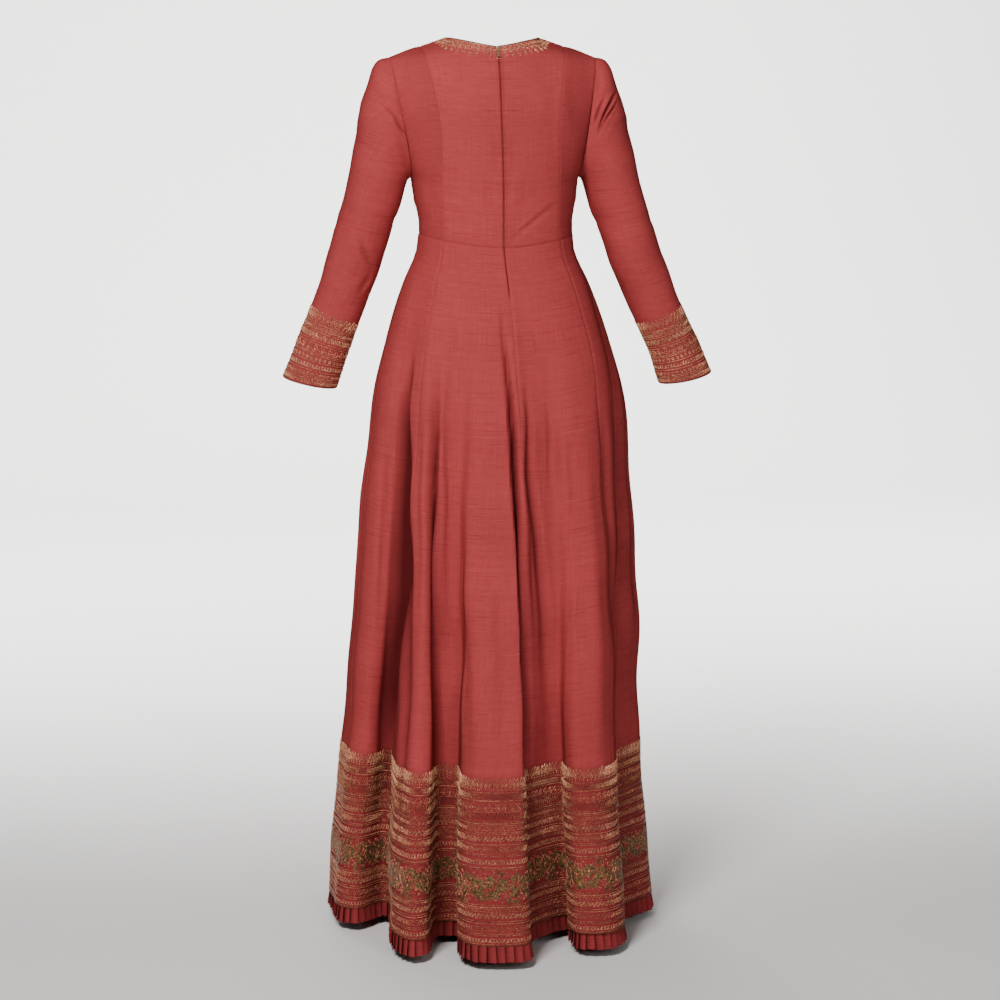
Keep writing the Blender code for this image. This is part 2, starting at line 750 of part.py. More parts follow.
def make_tape(hand, word, collection):
    stations = [{"level": level} for level in BODICE_ROWS[-2::-1]] + [{"row": row} for row in TAPE_SKIRT_ROWS]
    outer = []
    inner = []
    for station in stations:
        line = beside_zip(hand, **station)
        outer_row = []
        inner_row = []
        for across in (HALF_SEAM, TAPE_WIDTH / 2, TAPE_WIDTH):
            point, normal = step_along(line, across)
            outer_row.append(point - normal * (WALL + TAPE_GAP))
            inner_row.append(point - normal * (WALL + TAPE_GAP + TAPE_WALL))
        outer.append(outer_row)
        inner.append(inner_row)
    return wall("zip_tape_" + word, outer, inner, TAPE, collection)


def slider_frame():
    """Hinge of the pull tab: X across, Y down the cloth, Z out of it."""
    seat = bodice_point(BACK, 1, 0, SLIDER_LEVEL)
    _, normal = bodice_slopes(BACK, 1, 0, SLIDER_LEVEL)
    normal = flattened(normal, LEFT)
    down = normal.cross(LEFT)
    hinge = swayed(seat) + normal * (SEAM + SLIDER_THICK + PIN_HEIGHT)
    return Matrix.Translation(hinge) @ Matrix((LEFT, down, normal)).transposed().to_4x4()


def block(name, size, middle, frame, collection, helper=True):
    bm = bmesh.new()
    bmesh.ops.create_cube(bm, size=1.0, matrix=Matrix.Translation(middle) @ Matrix.Diagonal((*size, 1.0)))
    made = add_object(name, bm, METAL, collection)
    made.matrix_world = frame
    return as_helper(made) if helper else made


def rod(name, radius, length, frame, collection, helper=True):
    """A cylinder along X, centred on the hinge."""
    bm = bmesh.new()
    bmesh.ops.create_cone(
        bm, cap_ends=True, segments=ROD_SIDES, radius1=radius, radius2=radius, depth=length,
        matrix=Matrix.Rotation(math.pi / 2, 4, "Y"),
    )
    made = add_object(name, bm, METAL, collection)
    made.matrix_world = frame
    return as_helper(made) if helper else made


def as_helper(made):
    made.hide_render = True
    made.display_type = "WIRE"
    return made


def combine(target, other, operation):
    boolean = target.modifiers.new(operation.lower(), "BOOLEAN")
    boolean.object = other
    boolean.operation = operation


def make_slider(frame, collection, helpers):
    body_middle = Vector((0, 0, -(PIN_HEIGHT + SLIDER_THICK / 2)))
    slider = block(
        "zip_slider", (SLIDER_WIDTH, SLIDER_LENGTH, SLIDER_THICK), body_middle, frame, collection, helper=False
    )
    lug_height = PIN_HEIGHT + SLIDER_THICK / 2 + LUG_HALF
    lug_middle = BARREL_LENGTH / 2 + SEAM + LUG_THICK / 2
    for mirror, word in ((1, "left"), (-1, "right")):
        middle = Vector((mirror * lug_middle, 0, LUG_HALF - lug_height / 2))
        lug = block("lug_" + word, (LUG_THICK, 2 * LUG_HALF, lug_height), middle, frame, helpers)
        combine(slider, lug, "UNION")
    combine(slider, rod("pin", PIN_RADIUS, 2 * lug_middle, frame, helpers), "UNION")
    return slider


def tab_outline():
    """Half widths down the tab: a narrow neck, widening to a round end."""
    left = [(TAB_NECK_HALF, BARREL_RADIUS / 2), (TAB_NECK_HALF, TAB_NECK_END)]
    for k in range(TAB_END_STEPS + 1):
        angle = math.pi / 2 * k / TAB_END_STEPS
        left.append((TAB_HALF * math.cos(angle), TAB_LENGTH - TAB_HALF + TAB_HALF * math.sin(angle)))
    return [Vector((x, y, 0)) for x, y in left] + [Vector((-x, y, 0)) for x, y in reversed(left[:-1])]


def make_pull_tab(frame, collection, helpers):
    frame = frame @ Matrix.Rotation(-TAB_REST, 4, "X")
    bm = bmesh.new()
    face = bm.faces.new([bm.verts.new(point - Vector((0, 0, TAB_THICK / 2))) for point in tab_outline()])
    raised = bmesh.ops.extrude_face_region(bm, geom=[face])["geom"]
    corners = [item for item in raised if isinstance(item, bmesh.types.BMVert)]
    bmesh.ops.translate(bm, vec=(0, 0, TAB_THICK), verts=corners)
    tab = add_object("zip_pull_tab", bm, METAL, collection)
    tab.matrix_world = frame
    combine(tab, rod("barrel", BARREL_RADIUS, BARREL_LENGTH, frame, helpers), "UNION")
    combine(tab, rod("bore", PIN_RADIUS + SEAM, 2 * BARREL_LENGTH, frame, helpers), "DIFFERENCE")
    return tab


# Scene

for old in list(bpy.data.objects):
    bpy.data.objects.remove(old, do_unlink=True)
garment = bpy.data.collections.new("kurta")
bpy.context.scene.collection.children.link(garment)
cutters = bpy.data.collections.new("cutters")
bpy.context.scene.collection.children.link(cutters)
WAIST_POINTS = {fold: waist_point(fold.waist) for fold in FOLDS}

make_bodice(garment)
for word in ("left", "right"):
    make_sleeve(word, garment)
for side_of_zip, word in ((1, "left"), (-1, "right")):
    make_tape(side_of_zip, word, garment)
zip_frame = slider_frame()
make_slider(zip_frame, garment, cutters)
make_pull_tab(zip_frame, garment, cutters)
hem_lengths = hem_ruler()
for panel_name, first_seam, last_seam in SKIRT_PANELS:
    skirt_panel(panel_name, first_seam, last_seam, garment)
    make_frill(panel_name, first_seam, last_seam, hem_lengths, garment)
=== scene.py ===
# Floor-length kurta in slubbed raw silk with gold zari embroidery, filled out with no wearer, from the back.
# Metres, in the frame's own axes: +Z up, the wearer's back towards +Y and the wearer's left towards +X.

import math

import bpy
import numpy as np
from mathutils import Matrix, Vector
from mathutils.bvhtree import BVHTree


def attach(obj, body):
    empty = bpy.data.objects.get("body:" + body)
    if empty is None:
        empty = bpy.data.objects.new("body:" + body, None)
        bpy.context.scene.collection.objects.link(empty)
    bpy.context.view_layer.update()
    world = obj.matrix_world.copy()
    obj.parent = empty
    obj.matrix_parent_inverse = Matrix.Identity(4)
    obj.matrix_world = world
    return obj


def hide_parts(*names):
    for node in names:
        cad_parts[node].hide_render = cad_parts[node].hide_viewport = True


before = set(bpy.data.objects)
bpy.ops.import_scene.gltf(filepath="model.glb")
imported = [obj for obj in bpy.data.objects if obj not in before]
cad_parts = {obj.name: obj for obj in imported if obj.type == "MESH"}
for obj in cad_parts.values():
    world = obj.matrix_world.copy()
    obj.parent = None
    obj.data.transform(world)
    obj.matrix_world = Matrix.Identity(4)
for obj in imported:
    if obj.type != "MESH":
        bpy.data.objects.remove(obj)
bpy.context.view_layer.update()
mm = 0.001
rng = np.random.default_rng(11)
print("frame loaded")


# Nodes of the materials

def linear(code):
    parts = [int(code[i:i + 2], 16) / 255 for i in (1, 3, 5)]
    return tuple(c / 12.92 if c <= 0.04045 else ((c + 0.055) / 1.055) ** 2.4 for c in parts) + (1.0,)


def tone(value):
    # a colour from its sRGB code, or a grey from a number
    return linear(value) if isinstance(value, str) else (value, value, value, 1.0)


def addNode(tree, kind, settings=None, links=None):
    node = tree.nodes.new(kind)
    for name, value in (settings or {}).items():
        if isinstance(name, int) or name in node.inputs:
            node.inputs[name].default_value = value
        else:
            setattr(node, name, value)
    for name, source in (links or {}).items():
        tree.links.new(source, node.inputs[name])
    return node


def newMaterial(name, settings):
    made = bpy.data.materials.new(name)
    made.use_nodes = True
    for socket, value in settings.items():
        made.node_tree.nodes["Principled BSDF"].inputs[socket].default_value = value
    return made, made.node_tree


def connect(tree, links, bumps=()):
    # links the shader's sockets, and adds up (source, millimetres) pairs into one bump
    total = None
    for source, height in bumps:
        part = addNode(tree, "ShaderNodeMath", {"operation": "MULTIPLY", 1: height * mm}, {0: source})
        if total:
            part = addNode(tree, "ShaderNodeMath", {"operation": "ADD"}, {0: total, 1: part.outputs[0]})
        total = part.outputs[0]
    if total:
        bump = addNode(tree, "ShaderNodeBump", {"Strength": 1.0, "Distance": 1.0}, {"Height": total})
        links["Normal"] = bump.outputs[0]
    for socket, source in links.items():
        tree.links.new(source, tree.nodes["Principled BSDF"].inputs[socket])


def streaks(tree, place, across, down, detail):
    # noise drawn out along the weft; across and down are its sizes in millimetres
    scaled = addNode(tree, "ShaderNodeMapping", {"Scale": (1 / across, 1 / down, 0)}, {"Vector": place})
    settings = {"Scale": 1.0, "Detail": detail}
    return addNode(tree, "ShaderNodeTexNoise", settings, {"Vector": scaled.outputs[0]}).outputs["Fac"]


def ownTexture(tree, kind, settings):
    # a texture in the piece's own space
    place = addNode(tree, "ShaderNodeTexCoord").outputs["Object"]
    return addNode(tree, kind, settings, {"Vector": place}).outputs["Fac"]


def slant(tree):
    # 0 where the cloth faces the eye, 1 where it turns away
    return addNode(tree, "ShaderNodeLayerWeight", {"Blend": 0.5}).outputs["Facing"]


def ramp(tree, source, *stops):
    node = addNode(tree, "ShaderNodeValToRGB", links={0: source})
    elements = node.color_ramp.elements
    while len(elements) < len(stops):
        elements.new(0.5)
    for element, (position, value) in zip(elements, stops):
        element.position = position
        element.color = tone(value)
    return node.outputs["Color"]


def blend(tree, kind, share, first, second):
    node = addNode(tree, "ShaderNodeMix", {"data_type": "RGBA", "blend_type": kind})
    for index, value in ((0, share), (6, first), (7, second)):
        if isinstance(value, bpy.types.NodeSocket):
            tree.links.new(value, node.inputs[index])
        else:
            node.inputs[index].default_value = tone(value) if index else value
    return node.outputs[2]


silkFinish = {
    "mid": "#A74142", "bright": "#B24B4B", "dark": "#973739",
    "slub": "#BD5C59", "thin": "#64191F",  # thick places in the weft, and thin ones where the warp shows
    "shade": "#3A0B0E",  # painted shade: what the cloth falls to in a tight fold
    "turned": "#5A1D1A", "turnedShare": 0.75,  # where the cloth turns away: the darker warp showing, and painted shade for the light falling off at the edges
    "slubLength": 60, "slubWidth": 0.9,  # millimetres, along the weft and across it
}


def dupionSilk(name, darker):
    # dupion, a plain weave of coral slubbed weft on a finer, darker warp: level streaks catch the light, and
    # painted shade turns the cloth maroon in the folds and wherever it is seen at a slant
    made, tree = newMaterial(name, {
        "IOR": 1.54, "Specular IOR Level": 0.0,
        "Sheen Weight": 0.03, "Sheen Roughness": 0.4, "Sheen Tint": linear("#E08070"),
    })
    place = addNode(tree, "ShaderNodeAttribute", {"attribute_name": "clothPlaceAndPaintedShade"}).outputs["Vector"]
    depth = addNode(tree, "ShaderNodeSeparateXYZ", links={0: place}).outputs["Z"]
    mid, long, thick, turned = [silkFinish[key] for key in ("mid", "slubLength", "slubWidth", "turnedShare")]
    sizes = ((long * 0.3, thick * 0.8, 2.0), (long * 1.6, thick * 1.5, 3.0), (long * 4, 7, 2.0),
             (1.6, 60, 2.0), (180, 140, 1.0), (1.2, 0.9, 1.0))
    fine, slub, broad, warp, cloud, weave = [streaks(tree, place, *size) for size in sizes]
    colour = ramp(tree, fine, (0.34, silkFinish["dark"]), (0.5, mid), (0.66, silkFinish["bright"]))
    slubs = ramp(tree, slub, (0.27, silkFinish["thin"]), (0.39, mid), (0.64, mid), (0.76, silkFinish["slub"]))
    colour = blend(tree, "MIX", 0.58, colour, slubs)
    for source, share, low, dim, high in ((warp, 0.45, 0.35, 0.86, 0.65), (broad, 0.35, 0.3, 0.88, 0.7),
                                          (cloud, 0.5, 0.3, 0.84, 0.7)):
        colour = blend(tree, "MULTIPLY", share, colour, ramp(tree, source, (low, dim), (high, 1.1)))
    # painted shade: the whole colour is scaled by this, 0.7 for the frill
    colour = blend(tree, "MULTIPLY", 1.0, colour, darker)
    # painted shade: the colour falls to maroon by the shade stored with each point's place
    colour = blend(tree, "MIX", depth, colour, silkFinish["shade"])
    # painted shade at the edges: mixed towards the turned colour where the cloth turns from the eye
    away = ramp(tree, slant(tree), (0.38, 0), (0.68, 0.3 * turned), (0.94, turned))
    connect(tree, {
        "Base Color": blend(tree, "MIX", away, colour, silkFinish["turned"]),
        "Roughness": ramp(tree, fine, (0.3, 0.56), (0.7, 0.46)),
    }, [(fine, 0.12), (slub, 0.16), (weave, 0.07)])
    return made


def zariThread(name, light, dark, metal, roughness):
    # zari, gilt strip wound on a silk core and couched down: small broken glints, painted into the colour as
    # light specks, over a dull bronze body; real stitches are 1 mm long, and the painted glints are drawn at
    # 2.5 mm, to show from a few steps away
    made, tree = newMaterial(name, {
        "Metallic": metal, "Roughness": roughness, "Specular IOR Level": 0.25, "Sheen Weight": 0.05,
    })
    paintedGlintsAndGrain = ownTexture(tree, "ShaderNodeTexNoise", {"Scale": 400.0, "Detail": 2.0})
    patch = ownTexture(tree, "ShaderNodeTexNoise", {"Scale": 45.0, "Detail": 3.0})
    colour = ramp(tree, paintedGlintsAndGrain, (0.38, dark), (0.62, light))
    colour = blend(tree, "MULTIPLY", 0.7, colour, ramp(tree, patch, (0.34, 0.55), (0.66, 1.15)))
    # painted shade: where the stitches turn from the eye, each hides the next one's lit side, so the colour
    # is darkened
    colour = blend(tree, "MULTIPLY", 1.0, colour, ramp(tree, slant(tree), (0.4, 1.0), (0.85, 0.5)))
    connect(tree, {"Base Color": colour}, [(paintedGlintsAndGrain, 0.5)])
    return made


def wovenTape():
    # polyester zip tape: a tight matte rib along its length
    made, tree = newMaterial("zipTapePolyester", {"Roughness": 0.8, "Sheen Weight": 0.1})
    rib = ownTexture(tree, "ShaderNodeTexWave", {"Scale": 400.0, "Distortion": 0.4})
    connect(tree, {"Base Color": ramp(tree, rib, (0, "#561A1A"), (1, "#702625"))}, [(rib, 0.1)])
    return made


def lacqueredBrass():
    # die-cast zip slider, brass lacquered and tumbled: soft highlights, slightly duller in patches
    made, tree = newMaterial("lacqueredBrass", {"Metallic": 1.0, "Coat Weight": 0.3})
    wear = ownTexture(tree, "ShaderNodeTexNoise", {"Scale": 500.0, "Detail": 3.0})
    connect(tree, {"Base Color": ramp(tree, wear, (0.3, "#D9B184"), (0.7, "#F2D3A6")),
                   "Roughness": ramp(tree, wear, (0.3, 0.52), (0.7, 0.38))})
    return made


silk = dupionSilk("dupionSilk", 1.0)
frillSilk = dupionSilk("pleatedDupionSilkPaintedShade", 0.7)  # painted shade: the whole frill is darkened, as each pleat lies in the next one's shade
goldZari = zariThread("goldZari", "#DC9670", "#824034", 0.3, 0.48)
paleZari = zariThread("paleZari", "#ECAC82", "#9E5A42", 0.3, 0.46)
oliveThread = zariThread("oliveSilkThread", "#846438", "#36260F", 0.1, 0.55)
brownThread = zariThread("brownEdgeCord", "#7A4A2E", "#3E2014", 0.1, 0.6)
tape, brass = wovenTape(), lacqueredBrass()
finishes = {"zip_tape_left": tape, "zip_tape_right": tape, "zip_slider": brass, "zip_pull_tab": brass}
for node, finish in finishes.items():
    mesh = bpy.data.objects[node].data
    mesh.materials.clear()
    mesh.materials.append(finish)
print("materials made")


# The garment's form, from its named sizes and short tables, in millimetres unless a note says otherwise

garment = {
    "neckHalf": 73, "shoulderHalf": 163, "shoulderDrop": 31, "princessTop": 113,
    "napeBack": 58, "napeDrop": 15, "frontNeckReach": 90, "frontNeckDrop": 85,
    "underarmHalf": 132, "underarmDrop": 218, "armholeHalfDepth": 50,
    "waistSide": -306, "hem": -1380, "frillEnd": -1404, "edgePull": 1.1,
    "foldGrowth": 1.25, "settling": 7,
    "clothThick": 0.9, "frillThick": 0.45, "zipEnd": -398,
}

# a row for each level from the waist up: centre y z and princess seam x y z behind, the same in front, then
# for both the side's x z, its turn in degrees and its fall
bodiceLevels = np.array([
    (93.5, -325, 92, 68, -314, 96, -325, 83, 77, -314, 122, -306, 90, 0),
    (94, -304, 91, 69, -296, 99, -304, 82, 85, -296, 122, -290, 90, 0),
    (96, -280, 91, 71, -274, 106, -280, 83, 96, -274, 124, -270, 90, 0),
    (99, -250, 91, 74, -249, 118, -250, 86, 112, -249, 128, -249, 90, 0),
    (102, -218, 92, 78, -218, 120, -226, 87, 113, -220, 132, -218, 90, 0),
    (104, -184, 92, 84, -184, 117, -198, 88, 106, -186, 137.5, -185, 68, 0),
    (105, -148, 92, 88, -149, 111, -168, 90, 97, -151, 143.5, -150, 52, 0),
    (104, -110, 95, 87, -113, 104, -138, 94, 87, -115, 149, -115, 42, 0.05),
    (98, -73, 100, 78, -78, 99, -114, 99, 74, -79, 154.5, -82, 33, 0.15),
    (86, -43, 106, 61, -48, 95, -98, 105, 55, -48, 159, -56, 24, 0.28),
    (70, -24, 110, 38, -27, 92, -89, 110, 33, -27, 161.5, -40, 12, 0.34),
    (58, -15, 113, 0, -14, 90, -85, 113, 0, -14, 163, -31, 0, 0.345),
])
topLevel, underarmLevel, neckLevel = 11, 4, 7

# a row for each ring: outer x z, inner x z, middle y, half depth, tilt in degrees
sleeveRings = np.array([
    (163, -31, 132, -218, 0, 50, 0), (178, -34.5, 135, -219, 0, 52, 0), (188, -46, 137.5, -221, 0, 53, 0),
    (196, -68, 139.5, -224.5, 0, 53, 0), (208, -104, 141.5, -229.5, -1, 52, 0),
    (215, -147, 144, -237.5, -2, 51, 1), (226, -195, 147.5, -250, -3, 50, 2),
    (236, -238, 154, -271, -4, 49, 3), (247, -273, 164, -297, -6, 47, 4), (266, -334, 185, -361, -10, 44, 6),
    (287, -397, 212, -427, -16, 40, 7), (313, -461, 237, -488, -24, 37, 7),
    (344, -532, 258.5, -550, -34, 34, 8),
])
armpitRing, elbowRing = 4, 9
forearmSwing = {"left": -2, "right": 7}

# height, half width, back, front of the skirt before it is folded
skirtOutline = np.array([
    (-1404, 270, 304, 300), (-1291, 261, 284, 280), (-1093, 244, 244, 240), (-895, 234, 208, 202),
    (-699, 218, 178, 172), (-539, 199, 152, 147), (-443, 172, 130, 128), (-381, 149, 111, 111),
    (-334, 127, 95, 97), (-306, 122, 93.5, 96),
])
# height and sideways lean of the whole garment
sway = np.array([
    (-1404, 1), (-1291, 3), (-1093, 0), (-895, -7), (-699, -9), (-539, -11.5), (-443, -10),
    (-334, -6.5), (-220, -4.5), (-100, -0.5), (0, 0),
])
# place on the waist seam in panels, bearing in degrees where the skirt is smooth, x y at the frill's edge
folds = np.array([
    (0.00, -3, -20, 295), (0.12, 3, 9, 306), (0.28, 12, 66, 293), (0.41, 17, 86, 252),
    (0.52, 22, 77, 151), (0.63, 27, 107, 152), (0.74, 32, 135, 243), (0.87, 37, 157, 254),
    (1.00, 43, 182, 207), (1.35, 56, 178, 22), (1.62, 64, 227, 62), (1.82, 71, 253, 40),
    (2.00, 77, 258, -6), (2.22, 93, 253, -96), (2.42, 107, 190, -104), (2.62, 120, 217, -172),
    (2.81, 131, 181, -219), (3.00, 142, 98, -164), (3.25, 153, 102, -271), (3.52, 164, 56, -296),
    (3.80, 174, 13, -204), (4.10, 185, -23, -299), (4.45, 196, -69, -290), (5.00, 208, -69, -169),
    (5.12, 220, -156, -243), (5.24, 231, -197, -201), (5.37, 243, -162, -115), (5.50, 257, -262, -18),
    (5.68, 272, -256, 45), (5.86, 286, -223, 77), (6.00, 299, -171, 135), (6.50, 308, -187, 180),
    (7.00, 316, -180, 222), (7.19, 324, -151, 255), (7.36, 332, -106, 249), (7.48, 337, -96, 205),
    (7.65, 344, -104, 140), (7.87, 352, -36, 200),
])
roundPlaces = 8
panelPlaces = {
    "back_centre_left": (0, 1), "back_side_left": (1, 2), "front_side_left": (2, 3), "front_centre": (3, 5),
    "front_side_right": (5, 6), "back_side_right": (6, 7), "back_centre_right": (7, 8),
}


def hermite(start, startPull, end, endPull, share):
    squared = share * share
    cubed = squared * share
    return (start * (2 * cubed - 3 * squared + 1) + startPull * (cubed - 2 * squared + share)
            + end * (3 * squared - 2 * cubed) + endPull * (cubed - squared))


def smoothRead(xs, ys, x):
    # a smooth curve through a table, straight beyond its ends
    slopes = np.diff(ys) / np.diff(xs)
    pulls = np.concatenate(([slopes[0]], 0.5 * (slopes[1:] + slopes[:-1]), [slopes[-1]]))
    k = np.clip(np.searchsorted(xs, x, side="right") - 1, 0, len(xs) - 2)
    width = xs[k + 1] - xs[k]
    share = np.clip((x - xs[k]) / width, 0, 1)
    inside = hermite(ys[k], pulls[k] * width, ys[k + 1], pulls[k + 1] * width, share)
    return inside + np.minimum(x - xs[0], 0) * pulls[0] + np.maximum(x - xs[-1], 0) * pulls[-1]


def readColumns(xs, table, x):
    return [smoothRead(xs, column, x) for column in table.T]


def stack(*parts):
    return np.stack(np.broadcast_arrays(*parts), -1)


def unit(vectors):
    return vectors / np.maximum(np.linalg.norm(vectors, axis=-1, keepdims=True), 1e-12)


def swayed(points):
    return points + stack(smoothRead(*sway.T, points[..., 2]), 0, 0)


def upTo(value, reach):
    # a share that grows with the value and is whole at its reach
    return np.clip(value / reach, 0, 1)


def turns(count):
    # bearings spaced evenly all round
    return np.linspace(0, 2 * np.pi, count, endpoint=False)


def keyPoints(side, level):
    table = bodiceLevels[:, np.r_[0:5, 10:14] if side > 0 else np.r_[5:14]]
    middleY, middleZ, px, py, pz, ex, ez, turn, fall = readColumns(np.arange(len(table)), table, level)
    lean = (-garment["shoulderDrop"] - ez) / (garment["underarmDrop"] - garment["shoulderDrop"])
    leaning = garment["shoulderHalf"] - (garment["shoulderHalf"] - garment["underarmHalf"]) * lean
    depth = garment["armholeHalfDepth"] * np.sqrt(1 - np.clip(2 * lean - 1, -1, 1) ** 2)
    low = level <= underarmLevel
    edge = stack(np.where(low, ex, leaning), np.where(low, 0, side * depth), ez)
    turn = np.radians(turn)
    pull = unit(stack(np.cos(turn), -side * np.sin(turn), -fall))
    return stack(0, side * middleY, middleZ), stack(px, side * py, pz), edge, pull


def necklinePoint(side, share):
    x = share * garment["princessTop"]
    across = np.clip(x / garment["neckHalf"], 0, 1)
    rounding = np.sqrt(1 - across * across)
    slope = garment["shoulderDrop"] / (garment["shoulderHalf"] - garment["neckHalf"])
    if side > 0:
        y, z = garment["napeBack"] * rounding, -garment["napeDrop"] * (1 - across ** 1.15)
    else:
        y, z = -garment["frontNeckReach"] * rounding ** 1.2, -garment["frontNeckDrop"] * rounding
    beyond = x >= garment["neckHalf"]
    return np.stack([x, np.where(beyond, 0, y), np.where(beyond, -slope * (x - garment["neckHalf"]), z)], -1)


def bodicePoints(side, place, level):
    # place is 0 at the middle, 1 at the princess seam and 2 at the side seam or armhole
    def rowAt(level):
        middle, princess, edge, pull = keyPoints(side, level)
        inner = np.linalg.norm(princess - middle, axis=-1, keepdims=True)
        outer = np.linalg.norm(edge - princess, axis=-1, keepdims=True)
        along = unit((princess - middle) * (outer / inner) + (edge - princess) * (inner / outer))
        near, far = np.minimum(place, 1)[..., None], np.maximum(place - 1, 0)[..., None]
        centre = hermite(middle, inner * np.array([1.0, 0, 0]), princess, along * inner, near)
        return centre, hermite(princess, along * outer, edge, pull * outer * garment["edgePull"], far)

    centre, beyond = rowAt(level)
    top, _ = rowAt(np.full_like(level, topLevel))
    rise = upTo(level - neckLevel, topLevel - neckLevel)[..., None] ** 2
    centre = centre + (necklinePoint(side, np.minimum(place, 1)) - top) * rise
    return np.where((place > 1)[..., None], beyond, centre)


def waistPoints(places):
    half = roundPlaces / 2
    spot = np.minimum(places, roundPlaces - places)
    behind = bodicePoints(1, np.minimum(spot, 2), np.zeros_like(spot))
    ahead = bodicePoints(-1, np.clip(half - spot, 0, 2), np.zeros_like(spot))
    points = np.where((spot <= half / 2)[:, None], behind, ahead)
    points[:, 0] *= np.where(places <= half, 1, -1)
    return points


foldStarts = waistPoints(folds[:, 0])


def skirtRow(drop):
    # the ridges and valleys at a drop from 0 at the waist to 1 at the frill's lower edge
    x, y, z = foldStarts.T
    height = z + drop * (garment["frillEnd"] - z)
    halfWidth, back, front = readColumns(skirtOutline[:, 0], skirtOutline[:, 1:], height)
    first, last = skirtOutline[-1], skirtOutline[0]
    turn = np.radians(folds[:, 1])
    facing = np.where(np.cos(turn) > 0, back, front)
    smooth = stack(halfWidth * np.sin(turn), facing * np.cos(turn), height)
    deepened = np.where(y > 0, back / first[2], front / first[3])
    nearWaist = np.stack([x * halfWidth / first[1], y * deepened, height], -1)
    smooth = nearWaist + (smooth - nearWaist) * (1 - (1 - drop) ** garment["settling"])
    hemDepth = np.where(folds[:, 3] > 0, back / last[2], front / last[3])
    folded = np.stack([folds[:, 2] * halfWidth / last[1], folds[:, 3] * hemDepth, height], -1)
    return smooth + (folded - smooth) * drop ** garment["foldGrowth"]


def closedCurve(points, columns):
    # the smooth closed curve through the points, paced by their spacing
    k = np.floor(columns).astype(int)
    p0, p1, p2, p3 = [points[(k + shift) % len(points)] for shift in (-1, 0, 1, 2)]
    d0, d1, d2 = [np.sqrt(np.maximum(np.linalg.norm(b - a, axis=1, keepdims=True), 1e-3))
                  for a, b in ((p0, p1), (p1, p2), (p2, p3))]
    pull1 = (p1 - p0) / d0 - (p2 - p0) / (d0 + d1) + (p2 - p1) / d1
    pull2 = (p2 - p1) / d1 - (p3 - p1) / (d1 + d2) + (p3 - p2) / d2
    return hermite(p1, pull1 * d1, p2, pull2 * d1, (columns - k)[:, None])


def slope(points, axis, closed):
    # the step from the point before each one to the point after it
    if closed:
        return np.roll(points, -1, axis=axis) - np.roll(points, 1, axis=axis)
    return np.gradient(points, axis=axis)


def gridNormals(points, guide, closed=False):
    # the normals of a grid of points, all on the guide's side
    normals = unit(np.cross(slope(points, 1, closed), slope(points, 0, False)))
    return -normals if np.sum(normals * guide) < 0 else normals


def fromMiddle(points, axis):
    return points - points.mean(axis=axis, keepdims=True)


# Cloth pieces: each is a thin closed shell on a grid of points

def bell(off, shoulder=0.0):
    # 1 at the middle and 0 far off, with a low trough on each side where a shoulder is given
    return (1 - shoulder * off ** 2) * np.exp(-off ** 2)


def runAlong(points, axis):
    steps = np.linalg.norm(np.diff(points, axis=axis), axis=-1)
    zero = np.zeros_like(np.take(steps, [0], axis=axis))
    return np.cumsum(np.concatenate([zero, steps], axis=axis), axis=axis)


def looped(points, axis):
    return np.concatenate([points, np.take(points, [0], axis=axis)], axis=axis)


def addObject(name, data):
    made = bpy.data.objects.new(name, data)
    bpy.context.scene.collection.objects.link(made)
    return made


def newMesh(name, vertices, faces, material):
    mesh = bpy.data.meshes.new(name)
    mesh.from_pydata((np.array(vertices) * mm).tolist(), [], np.array(faces).tolist())
    mesh.materials.append(material)
    mesh.shade_smooth()
    return mesh


def finishPiece(name, vertices, faces, material, place=None, angle=50):
    mesh = newMesh(name, vertices, faces, material)
    if place is not None:
        stored = mesh.attributes.new("clothPlaceAndPaintedShade", "FLOAT_VECTOR", "POINT")
        stored.data.foreach_set("vector", np.ascontiguousarray(place, dtype=np.float32).ravel())
    mesh.set_sharp_from_angle(angle=math.radians(angle))
    piece = addObject(name, mesh)
    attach(piece, "kurta")
    return piece


def gridFaces(index, flip):
    corners = np.stack([index[:-1, :-1], index[:-1, 1:], index[1:, 1:], index[1:, :-1]], -1).reshape(-1, 4)
    return corners[:, ::-1] if flip else corners


def shellPiece(node, points, normals, shade, closed=False):
    # outer skin on the grid, inner skin a cloth's thickness inside it, and a rim round the open edges
    if node.startswith("frill"):
        material, slot, held, thick = frillSilk, "frill_silk", "gathered", garment["frillThick"]
    else:
        material, slot, held, thick = silk, "silk", "hung", garment["clothThick"]
    count = points[..., 0].size
    across, down = runAlong(points, 1), runAlong(points, 0)
    across = across - across[:, [points.shape[1] // 2]]
    if not node.startswith("skirt"):
        down = down - down[[-1]]  # the weft runs level from the waist or the cuff up
    # the third value is the painted shade that darkens the silk in folds, seams and between stitches
    place = stack(across, down, shade).reshape(-1, 3)
    cross = np.cross(points[1, 1] - points[0, 1], points[0, 2] - points[0, 1])
    flip = np.dot(cross, normals[0, 1]) > 0
    index = np.arange(count).reshape(points.shape[:2])
    index = looped(index, 1) if closed else index
    rims = [(index[0], flip), (index[-1], not flip)]
    if not closed:
        rims += [(index[:, 0], not flip), (index[:, -1], flip)]
    faces = [gridFaces(index, flip), gridFaces(index + count, not flip)]
    faces += [gridFaces(np.stack([line, line + count]), turned) for line, turned in rims]
    vertices = np.concatenate([points.reshape(-1, 3), (points - normals * thick).reshape(-1, 3)])
    piece = finishPiece(node + "_silk", vertices, np.concatenate(faces), material, np.tile(place, (2, 1)))
    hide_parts(node)
    wide = np.ptp(across, axis=1).max() * mm
    if closed:
        wide += np.linalg.norm(points[:, 0] - points[:, -1], axis=-1).max() * mm


